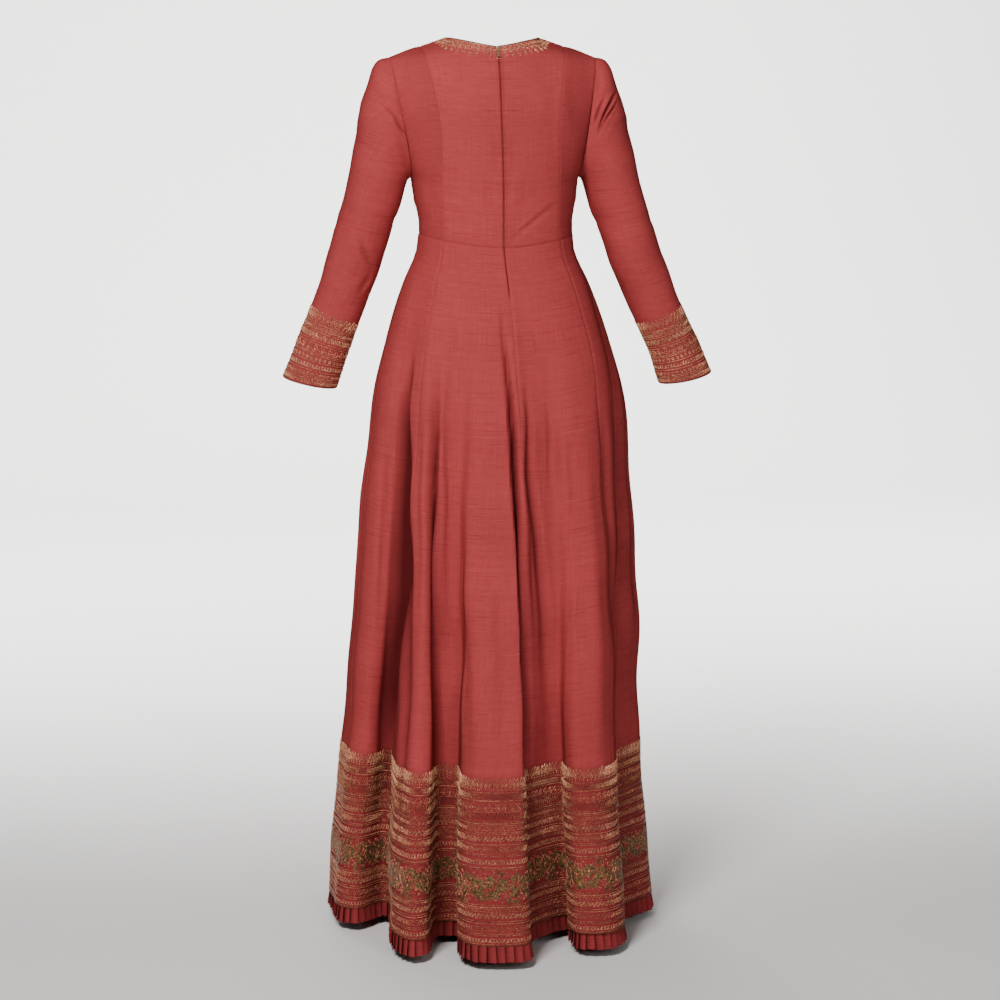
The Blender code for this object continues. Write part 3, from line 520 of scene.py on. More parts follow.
facings = {
    "back": ((0.0, 1.0, 0.0), (0, 2)), "front": ((0.0, -1.0, 0.0), (0, 2)),
    "left": ((1.0, 0.0, 0.0), (1, 2)), "right": ((-1.0, 0.0, 0.0), (1, 2)),
}
# how far the cloth has to face that way for a line to show, and how much further for it to be whole
creaseSeen, foldSeen = (0.05, 0.3), (0.02, 0.2)
creaseTrough, foldTrough = 0.8, 0.7  # how low the cloth lies on each side of a ridge
leastFold = 3  # a fold's least width in millimetres
swellWaves = {"count": 7, "sizes": (0.7, 1.5), "evened": 2.6}


def creaseHeights(points, normals, creases):
    # soft ridges and troughs along bowed lines seen from one side: each from across and height to across and
    # height, with its bow, width and depth, dying away at both ends and where the cloth turns away
    heights = np.zeros(points.shape[:2])
    for facing, lines in creases.items():
        towards, axes = facings[facing]
        flat = points[..., axes]
        seen = upTo(normals @ towards - creaseSeen[0], creaseSeen[1])
        for *ends, bow, width, depth in lines:
            start, end = np.reshape(ends, (2, 2))
            along = end - start
            length = np.linalg.norm(along)
            share = upTo((flat - start) @ along, length ** 2)[..., None]
            sideways = np.array([along[1], -along[0]]) / length
            line = start + share * along + sideways * (bow * 4 * share * (1 - share))
            off = np.linalg.norm(flat - line, axis=-1) / width
            fade = np.sin(np.pi * (share[..., 0] * 0.9 + 0.05)) ** 0.8
            heights += depth * bell(off, creaseTrough) * fade * seen
    return heights


def foldHeights(points, normals, lines):
    # long folds that fall down the skirt: rows of height, place across, width and depth, from the top down
    heights = np.zeros(points.shape[:2])
    z = points[..., 2]
    for facing, tables in lines.items():
        towards, axes = facings[facing]
        seen = upTo(normals @ towards - foldSeen[0], foldSeen[1])
        for rows in tables:
            table = np.array(rows, float)[::-1]
            centre, width, depth = readColumns(table[:, 0], table[:, 1:], z)
            inside = (z > table[0, 0]) & (z < table[-1, 0])
            off = (points[..., axes[0]] - centre) / np.maximum(width, leastFold)
            heights += np.where(inside, depth * bell(off, foldTrough) * seen, 0)
    return heights


def softUnevenness(points, size, height, seed):
    # a slow, uneven swell, so that no stretch of cloth is quite smooth
    waves = np.random.default_rng(seed)
    total = np.zeros(points.shape[:2])
    for _ in range(swellWaves["count"]):
        direction = unit(waves.normal(size=3))
        pace = 2 * np.pi / (size * waves.uniform(*swellWaves["sizes"]))
        total += np.sin((points @ direction) * pace + waves.uniform(0, 6.3))
    return total * height / swellWaves["evened"]


def edgeRoll(off, inset, depth):
    # how far the cloth turns in at a seam, by the distance from it
    return -depth * bell(off / inset)


def workedGround(rise, top, amount):
    # painted shade: the cloth between a border's stitches is puckered and in their shade, so it is darkened
    # from 14 mm under the border's top
    return amount * upTo(top - rise, 14)


zipShade = (0.7, 1.1)  # painted shadow: the two edges over the zip lie in each other's shadow; how deep, and how far in


# Bodice, cut with princess seams

bodice = {
    "rows": 84, "fineLevel": 8,  # half the rows lie above this level
    "pitch": 4.5, "panelWidth": {1: 105, -1: 115},  # millimetres between columns, and across a panel
    "seamColumns": (0.006, 0.014, 0.026),  # closer columns beside each seam, as shares of a panel
    "evened": (60, 6, 30),  # times the back's centre is evened out, where from, over what length
    "seamRoll": (1.5, 0.65),  # how far from the edge the cloth turns in, and how deep
    "waistRoll": (1.6, 0.1),
    "zipRoll": (0.9, 1.3),  # the concealed zip pulls its seam further in
    "zipRidge": (2.8, 1.4, 0.9),  # and one side lies proud of it: place, width, height
    "tuck": (0.9, 0.3),  # down and inwards, under the skirt's top edge
    "sideShade": (0.12, 0.35, 22),  # painted shade on the side panels beyond the princess seams, which turn from the light: how deep, the share that stays, and over what
    "pucker": (0.25, 0.55, 0.21),  # the stitching draws a seam up: how much, and its two paces
    "swell": (90, 0.5, 3),  # size and height in millimetres, seed
    "creases": {
        "back": [
            (-20, -313, -88, -260, 3, 5, -2.9), (-26, -304, -90, -250, 3, 6, 1.3),
            (-40, -295, -84, -309, 2, 4.5, -1.0), (-44, -304, -86, -316, 2, 5, 0.8),
            (-30, -262, -70, -240, 5, 9, -0.5), (96, -246, 50, -255, 3, 5, -1.7),
            (96, -253, 52, -262, 3, 6, 1.2), (36, -292, 92, -286, -3, 8, -0.6),
            (20, -306, 90, -304, -3, 7, 0.5), (8, -90, 14, -250, 6, 16, -0.9),
            (-12, -120, -8, -270, 5, 14, -0.8), (100, -60, 118, -150, 6, 13, 1.4),
            (84, -80, 96, -200, 6, 14, -1.0), (-104, -70, -120, -160, -6, 13, 1.3),
            (-82, -60, -92, -190, -6, 14, -0.9),
        ],
        "front": [
            (-40, -268, -100, -258, 4, 9, 0.9), (30, -282, 92, -270, -4, 9, -0.9),
            (-96, -150, -74, -210, 5, 14, 1.2), (98, -146, 78, -206, -5, 14, 1.1),
            (10, -120, 6, -240, 5, 18, -1.0),
        ],
        "left": [(40, -250, -50, -262, 4, 9, 0.9), (44, -282, -48, -290, 3, 9, -0.8)],
        "right": [(42, -256, -46, -250, 4, 9, 0.9), (40, -286, -52, -280, 3, 9, -0.8)],
    },
}


def bodiceGrid(name, side, hand, first):
    # hand 1 is the wearer's left, -1 the right, and 0 spans the middle
    half, fine = bodice["rows"] // 2, bodice["fineLevel"]
    rows = np.concatenate([np.linspace(topLevel, fine, half), np.linspace(fine, 0, half)[1:]])
    near = np.array(bodice["seamColumns"])
    spots = np.linspace(first, first + 1, round(bodice["panelWidth"][side] / bodice["pitch"]) + 1)
    spots = np.unique(np.concatenate([spots, first + near, first + 1 - near]))
    if hand == 0:
        spots = np.concatenate([-spots[:0:-1], spots])
    level, place = np.meshgrid(rows, spots, indexing="ij")
    points = bodicePoints(side, np.abs(place), level)
    points[..., 0] *= np.where(place < 0, -1, 1) if hand == 0 else hand
    if name.startswith("back_centre"):
        soft = points.copy()
        times, begin, length = bodice["evened"]
        for _ in range(times):
            soft[:, 1:-1] = (soft[:, :-2] + 2 * soft[:, 1:-1] + soft[:, 2:]) / 4
        share = upTo(runAlong(points, 0) - begin, length)[..., None]
        points = points * (1 - share) + soft * share
    return swayed(points)


def makeBodice():
    pieces = [("front_centre", -1, 0, 0)]
    for hand, word in ((1, "left"), (-1, "right")):
        pieces += [("back_centre_" + word, 1, hand, 0), ("back_side_" + word, 1, hand, 1),
                   ("front_side_" + word, -1, hand, 1)]
    grids = {}
    for name, side, hand, first in pieces:
        points = bodiceGrid(name, side, hand, first)
        normals = gridNormals(points, fromMiddle(points, (0, 1)))
        across, down = runAlong(points, 1), runAlong(points, 0)
        rolls = [(across, "seamRoll"), (across[:, [-1]] - across, "seamRoll"),
                 (down[[-1]] - down, "waistRoll")]
        # painted shade: along the zip's two edges and over the side panels
        shade = 0 * across
        if name.startswith("back_centre"):
            rolls.append((across, "zipRoll"))
            shade = zipShade[0] * bell(across / zipShade[1])
        elif "_side_" in name:
            deep, kept, reach = bodice["sideShade"]
            shade = deep * (kept + (1 - kept) * np.exp(-across / reach))
        x, _, z = np.moveaxis(points, -1, 0)
        much, fast, slow = bodice["pucker"]
        pucker = 1 + much * np.sin((z + x) * fast + np.sin(z * slow))
        heights = pucker * sum(edgeRoll(off, *bodice[key]) for off, key in rolls)
        if name == "back_centre_right":
            place, width, tall = bodice["zipRidge"]
            heights += tall * bell((across - place) / width)
        heights += creaseHeights(points, normals, bodice["creases"])
        heights += softUnevenness(points, *bodice["swell"])
        points = points + normals * heights[..., None]
        normals = gridNormals(points, fromMiddle(points, (0, 1)))
        below, inward = bodice["tuck"]
        points[-1] += unit(points[-1] - points[-2]) * below - normals[-1] * inward
        shellPiece("bodice_" + name, points, normals, shade)
        grids[name] = (points, normals)
    return grids


bodiceGrids = makeBodice()
print("bodice made")


# Sleeves, slim and set in

sleeve = {
    "rows": 156, "headRows": 64,  # of them, from the shoulder to the armpit
    "columns": 120,
    "headRoll": (2.2, 1.0),  # how far from the armhole the cloth turns in, and how deep
    "swell": (70, 0.8, 5),  # size and height in millimetres, seed
    "quiet": (60, 0.35),  # the cuff's border keeps the cloth flatter: up to here, by this much
    "held": (6, 0.2),  # and so does the armhole's seam
    "creaseShade": (0.6, 3.0, 0.2),  # painted shade in the crease troughs, from and to these depths, by so much a millimetre
    "worked": (118, 0.18),  # top of the cuff's border, and the painted shade between its stitches
    "creases": {
        "back": [
            (-193, -86, -160, -146, -3, 3.4, -3.9), (-192, -104, -161, -150, -3, 3.0, -3.3),
            (-173, -92, -155, -136, -3, 3.0, -3.0), (-183, -90, -159, -139, -3, 3.8, 2.6),
            (-194, -94, -162, -147, -3, 2.6, 1.8), (-166, -124, -156, -141, -1, 2.4, -1.1),
            (-164, -50, -160, -100, 0, 7, -1.0), (-200, -120, -172, -164, -4, 7, 0.8),
            (160, -126, 140, -150, -1, 3.6, -3.0), (181, -104, 144, -139, 2, 4, -2.2),
            (196, -78, 162, -115, 3, 8, -0.9), (186, -96, 152, -126, 3, 6, 0.7),
            (150, -126, 138, -142, 0, 3, 0.9), (214, -312, 190, -360, -3, 8, -2.3),
            (224, -316, 204, -356, -3, 9, 1.0), (197, -364, 216, -398, 2, 7, -1.8),
            (189, -374, 206, -394, 0, 3.5, 1.3), (234, -363, 208, -371, 0, 7, -1.2),
            (-204, -296, -240, -300, 2, 6, -0.7), (-208, -318, -246, -324, 2, 6, -0.7),
            (-200, -272, -230, -276, 2, 7, 0.6),
        ],
        "front": [
            (200, -90, 160, -150, -6, 10, 1.5), (206, -120, 166, -182, -6, 10, -1.3),
            (-198, -88, -158, -150, 6, 10, 1.5), (-206, -124, -168, -180, 6, 10, -1.2),
            (178, -298, 232, -262, -5, 9, -1.8), (190, -322, 244, -290, -5, 9, 1.4),
            (168, -274, 224, -244, -5, 9, 1.2), (-182, -300, -234, -266, 5, 9, -1.7),
            (-192, -322, -246, -292, 5, 9, 1.4), (-172, -276, -228, -246, 5, 9, 1.1),
        ],
        "left": [(34, -120, -30, -150, 6, 12, 1.2), (30, -282, -36, -300, 4, 10, -1.1)],
        "right": [(34, -118, -30, -152, 6, 12, 1.2), (30, -280, -38, -302, 4, 10, -1.1)],
    },
}


def sleeveGrid(word):
    last, head = len(sleeveRings) - 1, sleeve["headRows"]
    ring = np.linspace(armpitRing, last, sleeve["rows"] - head + 1)[1:]
    ring = np.concatenate([np.linspace(0, armpitRing, head), ring])
    ox, oz, ix, iz, y, deep, tilt = readColumns(np.arange(last + 1), sleeveRings, ring)
    swing = forearmSwing[word] * np.maximum(ring - elbowRing, 0) / (last - elbowRing)
    middle, half = stack((ox + ix) / 2 + swing, y, (oz + iz) / 2), stack((ox - ix) / 2, 0, (oz - iz) / 2)
    tilt = np.radians(tilt)
    depth = stack(0, np.cos(tilt), -np.sin(tilt)) * deep[:, None]
    angles = turns(sleeve["columns"])[None, :, None]
    points = middle[:, None] + half[:, None] * np.cos(angles) + depth[:, None] * np.sin(angles)
    if word == "right":
        points = points[:, ::-1] * np.array([-1, 1, 1])
    return swayed(points)


def makeSleeve(word):
    points = sleeveGrid(word)
    normals = gridNormals(points, fromMiddle(points, 1), True)
    down = runAlong(points, 0)
    rise = down[[-1]] - down
    heights = edgeRoll(down, *sleeve["headRoll"]) + creaseHeights(points, normals, sleeve["creases"])
    # painted shade in the troughs of the deeper creases
    least, most, rate = sleeve["creaseShade"]
    deep = np.clip(-heights - least, 0, most - least) * rate
    reach, low = sleeve["quiet"]
    heights += softUnevenness(points, *sleeve["swell"]) * np.clip(rise / reach, low, 1)
    reach, low = sleeve["held"]
    heights *= np.clip(down / reach + low, 0, 1)
    points = points + normals * heights[..., None]
    normals = gridNormals(points, fromMiddle(points, 1), True)
    shellPiece("sleeve_" + word, points, normals, workedGround(rise, *sleeve["worked"]) + deep, True)
    return points, normals


sleeveGrids = {word: makeSleeve(word) for word in ("left", "right")}
print("sleeves made")


# Skirt, seven flared panels that carry on the princess lines

skirt = {
    "rows": 104, "topRows": (0, 0.0015, 0.003, 0.006), "rowPace": 0.9,  # closer together near the waist
    "pitch": 6, "frontPitch": 9,  # widest column at the hem
    "seamColumns": (1.2, 2.6),  # closer columns beside each seam
    "seamRoll": (1.5, 0.5),  # how far from the seam the cloth turns in, and how deep
    "seamTurnings": (5.5, 3.0, 0.25),  # the turnings press through beside each seam: place, width, height
    "pucker": (0.3, 0.5, 0.17),
    "waistRoll": (1.6, 0.6),
    "waistTurnings": (24, 4, 0.8),  # and below the waist seam: width, how fast they end, height
    "zipRoll": (1.0, 1.3), "zipFade": 6,
    "swell": (150, 1.4, 8),  # size and height in millimetres, seed
    "swellFull": 200,  # how far below the waist it is whole
    "worked": (262, 0.4),  # top of the hem's border, and the painted shade between its stitches
    "foldShade": (0.85, 17, 1.3),  # painted shade in the folds: deepest shade, the depth that has it, and how steeply it comes
    "folds": {
        "back": [
            [(-405, 1, 5, 0), (-449, 1, 5, -3.5), (-522, -5, 6, -9), (-570, -8, 6.5, -13),
             (-627, -11, 7, -17), (-695, -14, 7.5, -19), (-765, -19, 8, -21), (-857, -22, 8, -21),
             (-1000, -26, 9, -15), (-1120, -26, 10, -6), (-1260, -27, 10, 0)],
            [(-530, -32, 7, 0), (-575, -35, 7, -2.5), (-664, -38, 8, -6), (-726, -44, 9, -8),
             (-770, -50, 9, -8), (-825, -55, 10, -7), (-931, -61, 12, -5), (-1027, -66, 14, -3),
             (-1150, -70, 14, 0)],
            [(-556, -66, 6, 0), (-612, -71, 7, -2.6), (-650, -71, 7, -2.6), (-713, -74, 8, 0)],
            [(-596, -85, 6, 0), (-640, -85, 7, -2.2), (-682, -86, 7, -2.2), (-744, -90, 8, 0)],
            [(-600, -102, 7, 0), (-660, -103, 8, -2), (-700, -104, 8, -2), (-790, -106, 9, 0)],
            [(-480, 137, 6, 0), (-514, 141, 6, -4), (-561, 149, 7, -11), (-615, 152, 8, -20),
             (-669, 153, 9, -27), (-748, 156, 10, -29), (-811, 158, 12, -28), (-873, 160, 13, -26),
             (-972, 166, 15, -22), (-1073, 173, 16, -15), (-1172, 179, 17, -7), (-1290, 184, 18, 0)],
            [(-480, 103, 6, 0), (-535, 104, 7, -4), (-600, 107, 8, -9), (-660, 109, 9, -13),
             (-740, 110, 10, -16), (-863, 110, 11, -15), (-989, 108, 12, -11), (-1118, 104, 14, -5),
             (-1263, 102, 14, 0)],
            [(-500, 118, 7, 0), (-580, 121, 8, 3), (-679, 124, 8, 5), (-771, 126, 8, 5.5),
             (-862, 129, 9, 5), (-1015, 138, 10, 3), (-1167, 151, 10, 0)],
            [(-590, -127, 14, 0), (-745, -133, 16, 4), (-869, -139, 16, 5), (-1023, -140, 16, 3),
             (-1176, -139, 16, 0)],
            [(-540, -152, 9, 0), (-640, -162, 11, -4), (-760, -170, 12, -6), (-900, -178, 13, -5),
             (-1040, -184, 14, 0)],
            [(-600, 177, 6, 0), (-680, 179, 7, -3.5), (-800, 183, 8, -3.5), (-950, 190, 8, 0)],
            [(-640, 60, 14, 0), (-760, 62, 16, 2.5), (-880, 62, 16, 2.5), (-1000, 62, 16, 0)],
            [(-820, 20, 10, 0), (-900, 20, 12, -2.5), (-1010, 18, 13, -2.5), (-1120, 16, 13, 0)],
            [(-860, 66, 9, 0), (-960, 68, 11, -3), (-1060, 70, 12, -3), (-1160, 72, 12, 0)],
        ],
        "front": [
            [(-400, 6, 8, 0), (-520, 10, 10, -7), (-640, 12, 12, -14), (-800, 14, 13, -17),
             (-980, 12, 14, -10), (-1150, 10, 14, 0)],
            [(-440, -58, 8, 0), (-560, -64, 10, -7), (-700, -70, 12, -13), (-860, -74, 14, -13),
             (-1010, -76, 14, -5), (-1140, -78, 14, 0)],
            [(-430, 82, 8, 0), (-560, 92, 10, -8), (-700, 98, 12, -15), (-880, 102, 13, -14),
             (-1040, 104, 14, -4), (-1160, 104, 14, 0)],
            [(-520, 44, 12, 0), (-640, 48, 14, 4), (-820, 50, 15, 5), (-1000, 52, 16, 0)],
            [(-500, -26, 12, 0), (-650, -28, 15, 4), (-840, -30, 16, 5), (-1020, -32, 16, 0)],
            [(-480, -118, 8, 0), (-620, -132, 10, -9), (-780, -140, 12, -14), (-940, -146, 14, -8),
             (-1100, -150, 14, 0)],
            [(-500, 150, 8, 0), (-640, 162, 10, -8), (-800, 172, 12, -12), (-960, 178, 13, -6),
             (-1100, 182, 14, 0)],
        ],
        "left": [
            [(-460, -50, 8, 0), (-600, -58, 10, -7), (-760, -66, 12, -12), (-920, -72, 13, -8),
             (-1080, -78, 14, 0)],
            [(-520, 6, 8, 0), (-660, 4, 10, -4), (-800, 0, 12, -5), (-960, -4, 12, 0)],
        ],
        "right": [
            [(-440, -36, 8, 0), (-580, -44, 10, -7), (-740, -52, 12, -12), (-900, -60, 13, -9),
             (-1060, -66, 14, 0)],
            [(-520, 26, 8, 0), (-660, 30, 10, -4), (-800, 34, 12, -6), (-960, 38, 12, 0)],
        ],
    },
}
seamPlaces = [place for place, _ in panelPlaces.values()]
hemDrop = (garment["hem"] - garment["waistSide"]) / (garment["frillEnd"] - garment["waistSide"])
steepness = 0.985  # rise in millimetres for each one up the flared cloth, near the hem


def skirtColumns():
    # each column as a fold's number and the share of the way to the next, closer together beside a seam
    hem = skirtRow(1)
    columns = []
    for k in range(len(folds)):
        length = np.linalg.norm(hem[(k + 1) % len(folds)] - hem[k])
        cuts = max(3, math.ceil(length / skirt["pitch" if hem[k][1] > 0 else "frontPitch"]))
        shares = set(np.arange(cuts) / cuts)
        for base, sign in ((0, 1), (1, -1)):
            if folds[(k + base) % len(folds), 0] in seamPlaces:
                shares |= {base + sign * step / length for step in skirt["seamColumns"]}
        columns += [k + share for share in sorted(shares)]
    return np.array(columns)


skirtColumnList = skirtColumns()


def columnAt(place):
    # the column at a place on the waist seam; the last place is the first again, after a full turn
    fold = len(folds) if place == roundPlaces else list(folds[:, 0]).index(place)
    return np.searchsorted(skirtColumnList, fold)


def makeSkirt():
    *top, start = skirt["topRows"]
    rows = np.concatenate([top, np.linspace(start, 1, skirt["rows"] - len(top))]) ** skirt["rowPace"]
    points = swayed(np.stack([closedCurve(skirtRow(row * hemDrop), skirtColumnList) for row in rows]))
    normals = gridNormals(points, fromMiddle(points, 1), True)
    down = runAlong(points, 0)
    folded = foldHeights(points, normals, skirt["folds"])
    width, ending, tall = skirt["waistTurnings"]
    heights = folded + softUnevenness(points, *skirt["swell"]) * upTo(down, skirt["swellFull"])
    heights += tall * (1 - upTo(down - width, ending)) + edgeRoll(down, *skirt["waistRoll"])
    run = runAlong(looped(points, 1), 1)
    z = points[..., 2]
    for place in seamPlaces:
        column = columnAt(place)
        off = np.abs(run[:, :-1] - run[:, [column]])
        off = np.minimum(off, run[:, [-1]] - off)
        much, fast, slow = skirt["pucker"]
        pucker = 1 + much * np.sin(z * fast + column) * np.sin(z * slow)
        beside, width, tall = skirt["seamTurnings"]
        heights += edgeRoll(off, *skirt["seamRoll"]) * pucker + tall * bell((off - beside) / width)
        if place == 0:
            zipped = upTo(z - garment["zipEnd"], skirt["zipFade"])
            heights += edgeRoll(off, *skirt["zipRoll"]) * zipped
            # painted shadow of the zip's two edges on each other
            seamShade = zipShade[0] * bell(off / zipShade[1]) * zipped
    points = points + normals * heights[..., None]
    normals = gridNormals(points, normals, True)
    # painted shade: in the folds' hollows, between the border's stitches and along the zip
    most, depth, steep = skirt["foldShade"]
    paintedFoldShade = most * upTo(-folded, depth) ** steep
    rise = (points[..., 2] - points[-1, :, 2]) / steepness
    shade = np.clip(paintedFoldShade + workedGround(rise, *skirt["worked"]) + seamShade, 0, most)
    for name, ends in panelPlaces.items():
        start, end = [columnAt(place) for place in ends]
        chosen = np.arange(start, end + 1) % len(skirtColumnList)
        shellPiece("skirt_" + name, points[:, chosen], normals[:, chosen], shade[:, chosen])
    return points, normals


skirtGrid = makeSkirt()
print("skirt made")


zipCoil = {"start": 24, "pitch": 1.5, "sunk": 1.7, "bar": (3.0, 1.1, 0.9)}


def makeZipCoil():
    # the closed coil of the concealed zip: small bars across the seam, just under its two rolled edges
    left, right = bodiceGrids["back_centre_left"], bodiceGrids["back_centre_right"]
    above, facing = [(left[k][:, 0] + right[k][:, 0]) / 2 for k in (0, 1)]
    places, normals = [grid[:, columnAt(0)] for grid in skirtGrid]
    below = (places[:, 2] > garment["zipEnd"]) & (places[:, 2] < above[-1, 2])
    centre = np.concatenate([above, places[below]])
    facing = np.concatenate([unit(facing), normals[below]])
    run = runAlong(centre, 0)
    bars = np.arange(zipCoil["start"], run[-1], zipCoil["pitch"])
    at, out = [stack(*[np.interp(bars, run, column) for column in lines.T])
               for lines in (centre, facing)]
    out = unit(out)
    down = unit(np.gradient(at, axis=0))
    half = np.array([(a, b, c) for a in (-0.5, 0.5) for b in (-0.5, 0.5) for c in (-0.5, 0.5)])
    corners = half * zipCoil["bar"] - np.array([0, 0, zipCoil["sunk"]])
    vertices = at[:, None] + corners @ np.stack([unit(np.cross(down, out)), down, out], 1)
    box = np.array([(0, 1, 3, 2), (4, 6, 7, 5), (0, 4, 5, 1), (2, 3, 7, 6), (0, 2, 6, 4), (1, 5, 7, 3)])
    faces = (box[None] + (np.arange(len(bars)) * 8)[:, None, None]).reshape(-1, 4)
    finishPiece("zip_coil", vertices.reshape(-1, 3), faces, tape)


makeZipCoil()
print("zip coil made")


# Frill: knife pleats, each one's edge lying over the cloth tucked under it

frill = {
    "pleats": 200, "rows": 6,
    "spread": (0.55, 1.0),  # how far the pleats stand out, at the hem and at their free edge
    "sunk": 3.6,  # millimetres that they are set back under the hem
    "skew": 1.3,  # millimetres that a pleat's free edge strays
    "uneven": 0.7,  # millimetres by which its length strays
    "tucked": 0.8,  # millimetres that the top row lies above the hem
    "lift": 0.2,  # share by which a pleat stands out more or less
    "clear": 0.2,  # millimetres kept free at each end of a length
    # share of the pitch and height in millimetres, from one pleat's edge to the next
    "profile": [
        (0.000, 4.4), (0.020, 5.2), (0.10, 5.2), (0.35, 4.4), (0.70, 3.0), (0.90, 1.9), (1.00, 1.35),
        (1.25, 0.95), (1.36, 0.95), (1.385, 1.3), (1.34, 1.65), (1.18, 2.2), (1.02, 3.3), (0.985, 3.9),
    ],
    "shade": [(0.45, 0), (0.75, 0.3), (0.98, 0.85)],  # painted shade towards the cloth tucked under the next pleat: share of the pitch and how deep in shade
}


def makeFrill():
    run = runAlong(looped(skirtGrid[0][-1], 0), 0)
    columns = np.append(skirtColumnList, len(folds))
    share, height = np.transpose(frill["profile"])
    # painted shade on the cloth tucked under the next pleat
    paintedPleatShade = np.interp(share, *np.transpose(frill["shade"]))
    paintedPleatShade[np.argmax(share):] = frill["shade"][-1][1]
    for name, ends in panelPlaces.items():
        start, end = [run[columnAt(place)] for place in ends]
        pleats = round(frill["pleats"] * (end - start) / run[-1])
        s = ((np.arange(pleats)[:, None] + share) * (end - start) / pleats).ravel()
        stray, droop, lift = [np.repeat(rng.uniform(-1, 1, pleats), len(share)) for _ in range(3)]
        depth = np.tile(height, pleats) * (1 + frill["lift"] * lift)
        first, last = start + frill["clear"], end - frill["clear"]
        rows = []
        for fall in np.linspace(0, 1, frill["rows"]):
            at = np.clip(s + start + stray * frill["skew"] * fall, first, last)
            column = np.interp(at, run, columns)
            row = skirtRow(hemDrop + (1 - hemDrop) * fall)
            around = closedCurve(row, column + 0.01) - closedCurve(row, column - 0.01)
            normal = unit(stack(-around[:, 1], around[:, 0], 0))
            low, high = frill["spread"]
            out = depth * (low + (high - low) * fall) - frill["sunk"]
            line = closedCurve(row, column) + normal * out[:, None]
            line[:, 2] += droop * frill["uneven"] * fall + (frill["tucked"] if fall == 0 else 0)
            rows.append(line)
        cloth = swayed(np.array(rows))
        normals = gridNormals(cloth, cloth.mean(axis=(0, 1)) * np.array([1, 1, 0]))
        shellPiece("frill_" + name, cloth, normals, np.tile(paintedPleatShade, (frill["rows"], pleats)))


makeFrill()
print("frill made")


# Embroidery: motifs drawn flat in millimetres (along, up, height), then laid on the cloth

threadFoot = -0.15  # a thread's edges are sunk this far into the cloth
handwork = {"angle": 0.04, "size": 0.04, "height": 0.08}  # how much motifs stray, in radians and shares


def domed(outline, height):
    # a padded satin-stitch shape: an outline, a raised ring inside it and a crown
    count = len(outline)
    middle = outline.mean(axis=0)
    ringShare, ringRise = 0.55, 0.85
    ring = middle + (outline - middle) * ringShare
    vertices = np.concatenate([
        np.column_stack([outline, np.full(count, threadFoot)]),
        np.column_stack([ring, np.full(count, height * ringRise)]), [[*middle, height]],
    ])
    tris = []
    for i in range(count):
        k = (i + 1) % count
        tris += [(i, k, count + k), (i, count + k, count + i), (count + i, count + k, 2 * count)]
    return vertices, np.array(tris)


def corded(path, width, height, closed=False):
    # a couched cord: three vertices at each point of a line
    path = np.asarray(path, float)
    count = len(path)
    ahead = slope(path, 0, closed)
    side = unit(stack(-ahead[:, 1], ahead[:, 0])) * width / 2
    vertices = np.stack([
        np.column_stack([path + side * way, np.full(count, height if way == 0 else threadFoot)])
        for way in (1, 0, -1)], axis=1).reshape(-1, 3)
    i = 3 * np.arange(count if closed else count - 1)
    k = (i + 3) % (3 * count)
    tris = [tri for a in (0, 1) for tri in ((i + a, k + a + 1, k + a), (i + a, i + a + 1, k + a + 1))]
    return vertices, np.concatenate([np.column_stack(tri) for tri in tris])


def joined(parts):
    starts = np.cumsum([0] + [len(vertices) for vertices, _ in parts])
    return (np.concatenate([vertices for vertices, _ in parts]),
            np.concatenate([tris + start for (_, tris), start in zip(parts, starts)]))


def turned(shape, angle, along=0.0, up=0.0):
    vertices, tris = shape
    x, y, z = vertices.T
    c, s = math.cos(angle), math.sin(angle)
    return stack(x * c - y * s + along, x * s + y * c + up, z), tris


def stamped(shape, along, up=0.0, angle=0.0, size=1.0):
    # the same motif at many places, each a little uneven as handwork is
    vertices, tris = shape
    count = len(along)
    angle = angle + rng.normal(0, handwork["angle"], count)
    size = (size * rng.normal(1, handwork["size"], count))[:, None]
    x, y = vertices[:, 0] * size, vertices[:, 1] * size
    z = vertices[:, 2] * rng.normal(1, handwork["height"], count)[:, None]
    c, s = np.cos(angle)[:, None], np.sin(angle)[:, None]
    along, up = [np.broadcast_to(value, count)[:, None] for value in (along, up)]
    moved = stack(x * c - y * s + along, x * s + y * c + up, z).reshape(-1, 3)
    faces = (tris[None] + (np.arange(count) * len(vertices))[:, None, None]).reshape(-1, 3)
    return moved, faces


def ellipse(wide, tall, sides=8, along=0.0, up=0.0):
    return stack(along + wide / 2 * np.cos(turns(sides)), up + tall / 2 * np.sin(turns(sides)))


def bead(wide, height, sides=6):
    return domed(ellipse(wide, wide, sides), height)


def dropOutline(length, wide, sides):
    # a teardrop standing on its round end
    up = 0.5 - 0.5 * np.cos(turns(sides))
    return stack(wide * 0.62 * np.sin(turns(sides)) * (1.05 - up) ** 0.45, up * length)


def arc(radius, start, end, steps, up=0.0):
    angles = np.radians(np.linspace(start, end, steps))
    return stack(radius * np.cos(angles), up + radius * np.sin(angles))


def leaf(length, wide):
    # two satin halves with the vein between them
    half = domed(dropOutline(length, wide * 0.55, 7), 0.75)
    return joined([turned(half, 0.13 * side, -wide * 0.2 * side) for side in (1, -1)])


def flower(petals, radius, wide, height=0.9):
    petal = domed(dropOutline(radius * 0.8, wide, 7), height)
    angles = [2 * math.pi * k / petals for k in range(petals)]
    return joined([turned(petal, a, -math.sin(a) * radius * 0.2, math.cos(a) * radius * 0.2) for a in angles])


